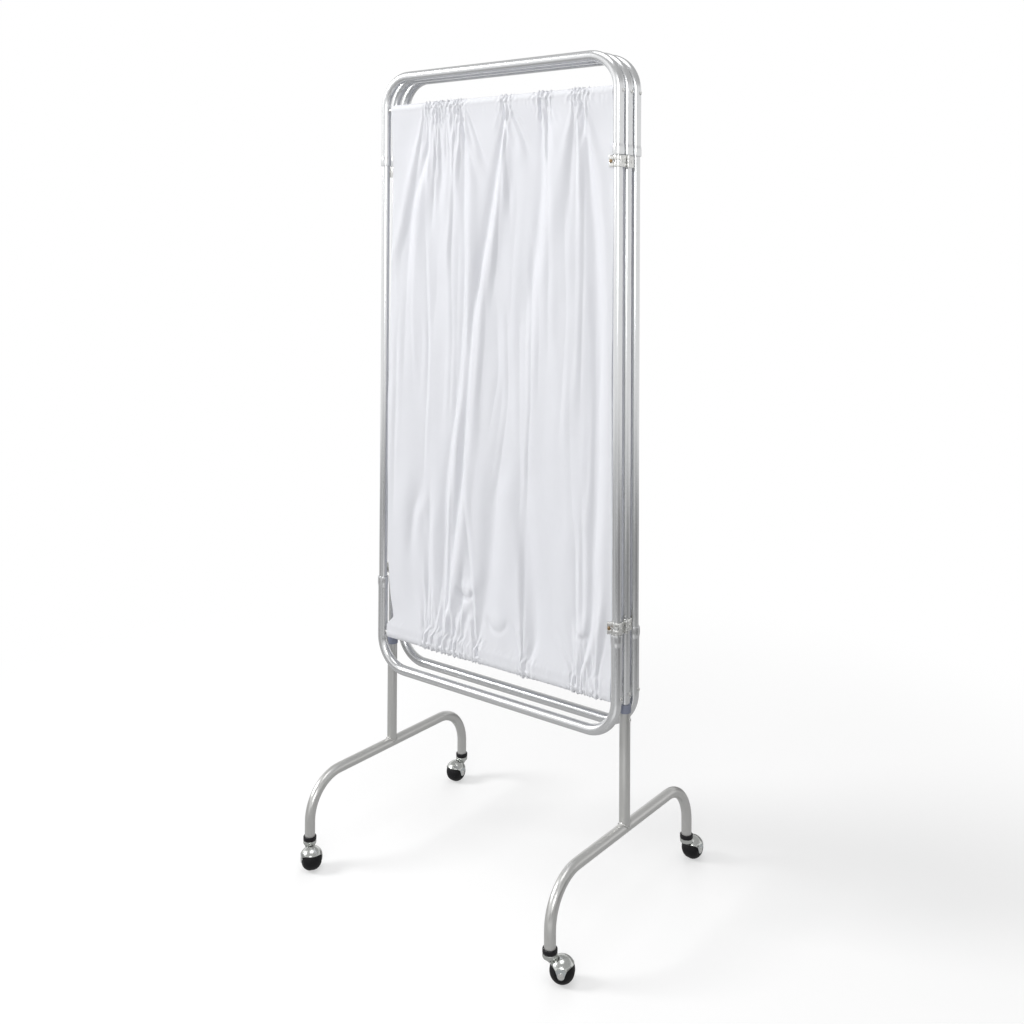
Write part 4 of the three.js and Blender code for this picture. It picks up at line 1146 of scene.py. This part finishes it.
# The front curtain, read from the photograph
FRONT_TOP_GATHERS = [(-188, 9), (-172, 7), (-158, 8), (-134, 9), (-108, 8), (-90, 9), (30, 9), (44, 8),
                     (129, 11), (146, 8), (219, 11), (243, 9)]
FRONT_LOW_GATHERS = [(-187, 9), (-172, 8), (-157, 10), (-133, 9), (-112, 10), (-86, 12), (-37, 10),
                     (92, 11), (225, 11), (243, 8), (272, 10)]
FRONT_FOLDS = [
    Fold([(-185, 1656), (-191, 1565), (-239, 1452), (-265, 1220)], 15, 6.5),
    Fold([(-85, 1656), (-81, 1240), (-95, 1030), (-136, 820), (-138, 641), (-142, 455)], 14, 6.5),
    Fold([(35, 1656), (-8, 1425), (-52, 1227), (-68, 1032), (-90, 804), (-125, 576), (-140, 455)], 15, 9,
         crest_share=0.9),
    Fold([(129, 1656), (130, 1462), (102, 1254), (85, 1126)], 18, 6.5),
    Fold([(234, 1656), (265, 1355), (276, 1085), (272, 855), (262, 650), (269, 582), (230, 455)], 16, 7, 1),
    Fold([(-200, 1641), (-243, 1446), (-294, 1233)], 11, 4, -1),
    Fold([(-158, 1656), (-150, 1500), (-168, 1380)], 13, 4.5, -1),
    Fold([(-134, 1656), (-128, 1520), (-120, 1340)], 14, 4.5, 1),
    Fold([(-108, 1656), (-60, 1540), (-30, 1440)], 12, 3.5, 1),
    Fold([(44, 1656), (90, 1560), (110, 1500)], 12, 4, -1),
    Fold([(219, 1656), (205, 1500), (196, 1330)], 14, 4, -1),
    Fold([(-197, 842), (-233, 735), (-244, 577)], 13, 5, 1),
    Fold([(-190, 843), (-189, 639), (-178, 455)], 13, 5.5, 1),
    Fold([(-60, 700), (-70, 600), (-112, 455)], 15, 4, 1),
    Fold([(28, 960), (0, 700), (-37, 455)], 26, 5, -1),
    Fold([(78, 940), (92, 737), (120, 507), (99, 455)], 34, 8, -1),
    Fold([(210, 620), (214, 540), (228, 455)], 15, 5, 1),
    Fold([(170, 560), (200, 510), (226, 455)], 12, 3.5, -1),
    Fold([(-73, 1650), (-8, 1495)], 10, 3, -1),
    Fold([(47, 1655), (100, 1590)], 10, 3, -1),
    Fold([(146, 1645), (192, 1605)], 10, 3, -1),
]
FRONT_LEFT_EDGE = [(-306, 466), (-286, 486), (-294, 530), (-304, 624), (-308, 985), (-304, 1219),
                   (-299, 1453), (-303, 1654)]
FRONT_RIGHT_EDGE = [(311, 455), (311.5, 1654)]
# Across, height, radius and depth of the slack pockets, in mm
FRONT_POCKETS = [(-70, 590, 21, 4.5), (18, 540, 26, 2), (238, 560, 14, 2.5)]
FRONT_SEED, MIDDLE_SEED, REAR_SEED = 11, 23, 37
curtain("front", AT_FRONT, FRONT_TOP_GATHERS, FRONT_LOW_GATHERS, FRONT_FOLDS, FRONT_SEED,
        FRONT_LEFT_EDGE, FRONT_RIGHT_EDGE, FRONT_POCKETS)


def chance_curtain(name, place, seed):
    """A curtain gathered by chance, for the frames that the photograph doesn't show."""
    chance = random.Random(seed)
    span = CURTAIN_HALF / MM - 40

    def scatter(count):
        step = 2 * span / count
        return [(-span + step * (index + chance.uniform(0.15, 0.85)), chance.uniform(8, 13))
                for index in range(count)]

    top, low = scatter(10), scatter(9)
    folds = []
    for index in range(8):
        start, end = top[index + 1][0], low[index][0]
        middle = (start + end) / 2 + chance.uniform(-40, 40)
        points = [(start, 1656), (0.6 * start + 0.4 * middle, 1350), (middle, 1050),
                  (0.5 * middle + 0.5 * end, 750), (end, 455)]
        folds.append(Fold(points, chance.uniform(12, 19), chance.uniform(5, 8.5), chance.choice((-1, 1))))
    edge = CURTAIN_HALF / MM
    left = [(-edge, 455), (-edge + chance.uniform(2, 10), 800), (-edge + chance.uniform(0, 6), 1300),
            (-edge, 1654)]
    right = [(edge, 455), (edge - chance.uniform(2, 10), 900), (edge - chance.uniform(0, 6), 1350),
             (edge, 1654)]
    curtain(name, place, top, low, folds, seed, left, right)


chance_curtain("middle", AT_MIDDLE, MIDDLE_SEED)
chance_curtain("rear", AT_REAR, REAR_SEED)


# Camera at the photograph's viewing angle, fitted to points measured in it; angles in degrees
CAMERA_PLACE = (1.5413, -1.9778, 1.3559)
CAMERA_AZIMUTH, CAMERA_ELEVATION, CAMERA_ROLL = 37.305, -0.80, 0.30
camera_data = bpy.data.cameras.new("camera")
camera_data.sensor_width = 36
camera_data.lens = 40.05
camera_data.shift_x = -0.0078
camera_data.shift_y = -0.279
camera = bpy.data.objects.new("camera", camera_data)
bpy.context.scene.collection.objects.link(camera)
azimuth, elevation, roll = (math.radians(a) for a in (CAMERA_AZIMUTH, CAMERA_ELEVATION, CAMERA_ROLL))
back = Vector((math.sin(azimuth) * math.cos(elevation), -math.cos(azimuth) * math.cos(elevation),
               math.sin(elevation)))
level_right = Vector((math.cos(azimuth), math.sin(azimuth), 0))
level_up = back.cross(level_right)
right = level_right * math.cos(roll) + level_up * math.sin(roll)
up = level_up * math.cos(roll) - level_right * math.sin(roll)
camera_turn = Matrix((right, up, back)).transposed().to_4x4()
camera.matrix_world = Matrix.Translation(CAMERA_PLACE) @ camera_turn
bpy.context.scene.camera = camera
bpy.context.scene.view_settings.view_transform = "Standard"


# Stage: white to the camera, in polished metal and through the sheets, grey as a source of light
def rays_that_see_white(tree):
    """1 for camera, glossy and transmission rays, 0 for the rest."""
    path = add_node(tree, "ShaderNodeLightPath")
    seen = path.outputs["Is Camera Ray"]
    for kind in ("Is Glossy Ray", "Is Transmission Ray"):
        seen = add_node(tree, "ShaderNodeMath", {"operation": "MAXIMUM"},
                        {0: seen, 1: path.outputs[kind]}).outputs["Value"]
    return seen


WHITE = (1, 1, 1, 1)
FILL_STRENGTH = 0.43
world = bpy.data.worlds.new("studio")
bpy.context.scene.world = world
world.use_nodes = True
tree = world.node_tree
tree.nodes.clear()
soft_fill = add_node(tree, "ShaderNodeBackground", {"Color": WHITE, "Strength": FILL_STRENGTH})
plain_white = add_node(tree, "ShaderNodeBackground", {"Color": WHITE, "Strength": 1.0})
mixed = add_node(tree, "ShaderNodeMixShader", {}, {0: rays_that_see_white(tree),
                 1: soft_fill.outputs["Background"], 2: plain_white.outputs["Background"]})
add_node(tree, "ShaderNodeOutputWorld", {}, {"Surface": mixed.outputs["Shader"]})

FLOOR_HALF = 30.0
FADE_START, FADE_END = 0.9, 2.0
# The floor's own colour, and the glow that the rays that see it add
FLOOR_GREY = (0.5, 0.5, 0.5, 1)
FLOOR_LIFT = (0.48, 0.48, 0.48, 1)
floor_mesh = bpy.data.meshes.new("floor")
floor_mesh.from_pydata([(-FLOOR_HALF, -FLOOR_HALF, 0), (FLOOR_HALF, -FLOOR_HALF, 0),
                        (FLOOR_HALF, FLOOR_HALF, 0), (-FLOOR_HALF, FLOOR_HALF, 0)], [], [(0, 1, 2, 3)])
floor = bpy.data.objects.new("floor", floor_mesh)
bpy.context.scene.collection.objects.link(floor)


def pale_floor():
    """Matt pale floor that keeps the casters' shadows. It is lifted for the rays that see it, fades to
    white between FADE_START and FADE_END from the middle, and is plain white beyond."""
    material = bpy.data.materials.new("pale_floor")
    material.use_nodes = True
    tree = material.node_tree
    tree.nodes.clear()
    seen = rays_that_see_white(tree)
    place = add_node(tree, "ShaderNodeTexCoord")
    reach = add_node(tree, "ShaderNodeVectorMath", {"operation": "LENGTH"},
                     {0: place.outputs["Object"]})
    fade = add_node(tree, "ShaderNodeMapRange",
                    {"interpolation_type": "SMOOTHSTEP", 1: FADE_START, 2: FADE_END},
                    {0: reach.outputs["Value"]})
    whole = add_node(tree, "ShaderNodeMath", {"operation": "MULTIPLY"},
                     {0: fade.outputs["Result"], 1: seen})
    matt = add_node(tree, "ShaderNodeBsdfDiffuse", {"Color": FLOOR_GREY})
    lift = add_node(tree, "ShaderNodeEmission", {"Color": FLOOR_LIFT}, {"Strength": seen})
    lifted = add_node(tree, "ShaderNodeAddShader", {},
                      {0: matt.outputs["BSDF"], 1: lift.outputs["Emission"]})
    white = add_node(tree, "ShaderNodeEmission", {"Color": WHITE, "Strength": 1.0})
    both = add_node(tree, "ShaderNodeMixShader", {},
                    {0: whole.outputs["Value"], 1: lifted.outputs["Shader"], 2: white.outputs["Emission"]})
    add_node(tree, "ShaderNodeOutputMaterial", {}, {"Surface": both.outputs["Shader"]})
    return material


floor_mesh.materials.append(pale_floor())


def area_lamp(name, place, target, size, power, mirrored=True):
    """Round lamp; one that isn't mirrored gives light, but no highlight in metal."""
    lamp = bpy.data.lights.new(name, "AREA")
    lamp.shape = "DISK"
    lamp.size = size
    lamp.energy = power
    holder = bpy.data.objects.new(name, lamp)
    bpy.context.scene.collection.objects.link(holder)
    holder.location = place
    holder.rotation_euler = (Vector(target) - Vector(place)).to_track_quat("-Z", "Y").to_euler()
    holder.visible_glossy = mirrored


area_lamp("key", place=(-4.8, -3.45, 4.2), target=(0, 0, 1.2), size=2.4, power=300)
area_lamp("front_fill", place=(2.0, -3.4, 2.2), target=(0, 0, 1.0), size=1.8, power=38)
area_lamp("overhead", place=(0.2, -0.6, 4.2), target=(0, 0, 0.8), size=2.2, power=27)
area_lamp("back_fill", place=(-1.9, 3.6, 2.6), target=(0, 0, 1.0), size=2.2, power=34, mirrored=False)


def plain_card(name, place, size, shade, lying=False):
    """Plain card that shows only in reflections: grey ones give the chrome and the tubes their dark
    bands. It stands on its place, across the line to the middle, or lies with its middle there."""
    mesh = bpy.data.meshes.new(name)
    half = size[0] / 2
    low = -size[1] / 2 if lying else 0
    corners = [(-half, 0, low), (half, 0, low), (half, 0, low + size[1]), (-half, 0, low + size[1])]
    mesh.from_pydata(corners, [], [(0, 1, 2, 3)])
    material = bpy.data.materials.new(name)
    material.use_nodes = True
    tree = material.node_tree
    tree.nodes.clear()
    glow = add_node(tree, "ShaderNodeEmission", {"Color": (shade, shade, shade, 1), "Strength": 1.0})
    add_node(tree, "ShaderNodeOutputMaterial", {}, {"Surface": glow.outputs["Emission"]})
    mesh.materials.append(material)
    card = bpy.data.objects.new(name, mesh)
    bpy.context.scene.collection.objects.link(card)
    card.location = place
    tilt = math.pi / 2 if lying else 0
    card.rotation_euler = (tilt, 0, math.atan2(place[1], place[0]) + math.pi / 2)
    card.visible_camera = False
    card.visible_diffuse = False
    card.visible_shadow = False
    card.visible_transmission = False


plain_card("front_card", place=(0.75, -1.1, 0.0), size=(1.3, 0.36), shade=0.2)
plain_card("right_card", place=(1.4, 0.0, 0.0), size=(1.2, 0.5), shade=0.16)
plain_card("left_card", place=(-1.1, -0.9, 0.0), size=(0.9, 0.5), shade=0.3)
plain_card("rear_card", place=(0.1, 1.4, 0.0), size=(1.4, 0.5), shade=0.2)
plain_card("floor_card", place=(0.6, -0.8, 0.002), size=(8.0, 8.0), shade=0.5, lying=True)
plain_card("light_strip", place=(1.25, -1.7, 0.004), size=(0.55, 3.0), shade=1.0, lying=True)
plain_card("ceiling_card", place=(0.0, 0.0, 4.4), size=(16.0, 16.0), shade=0.5, lying=True)
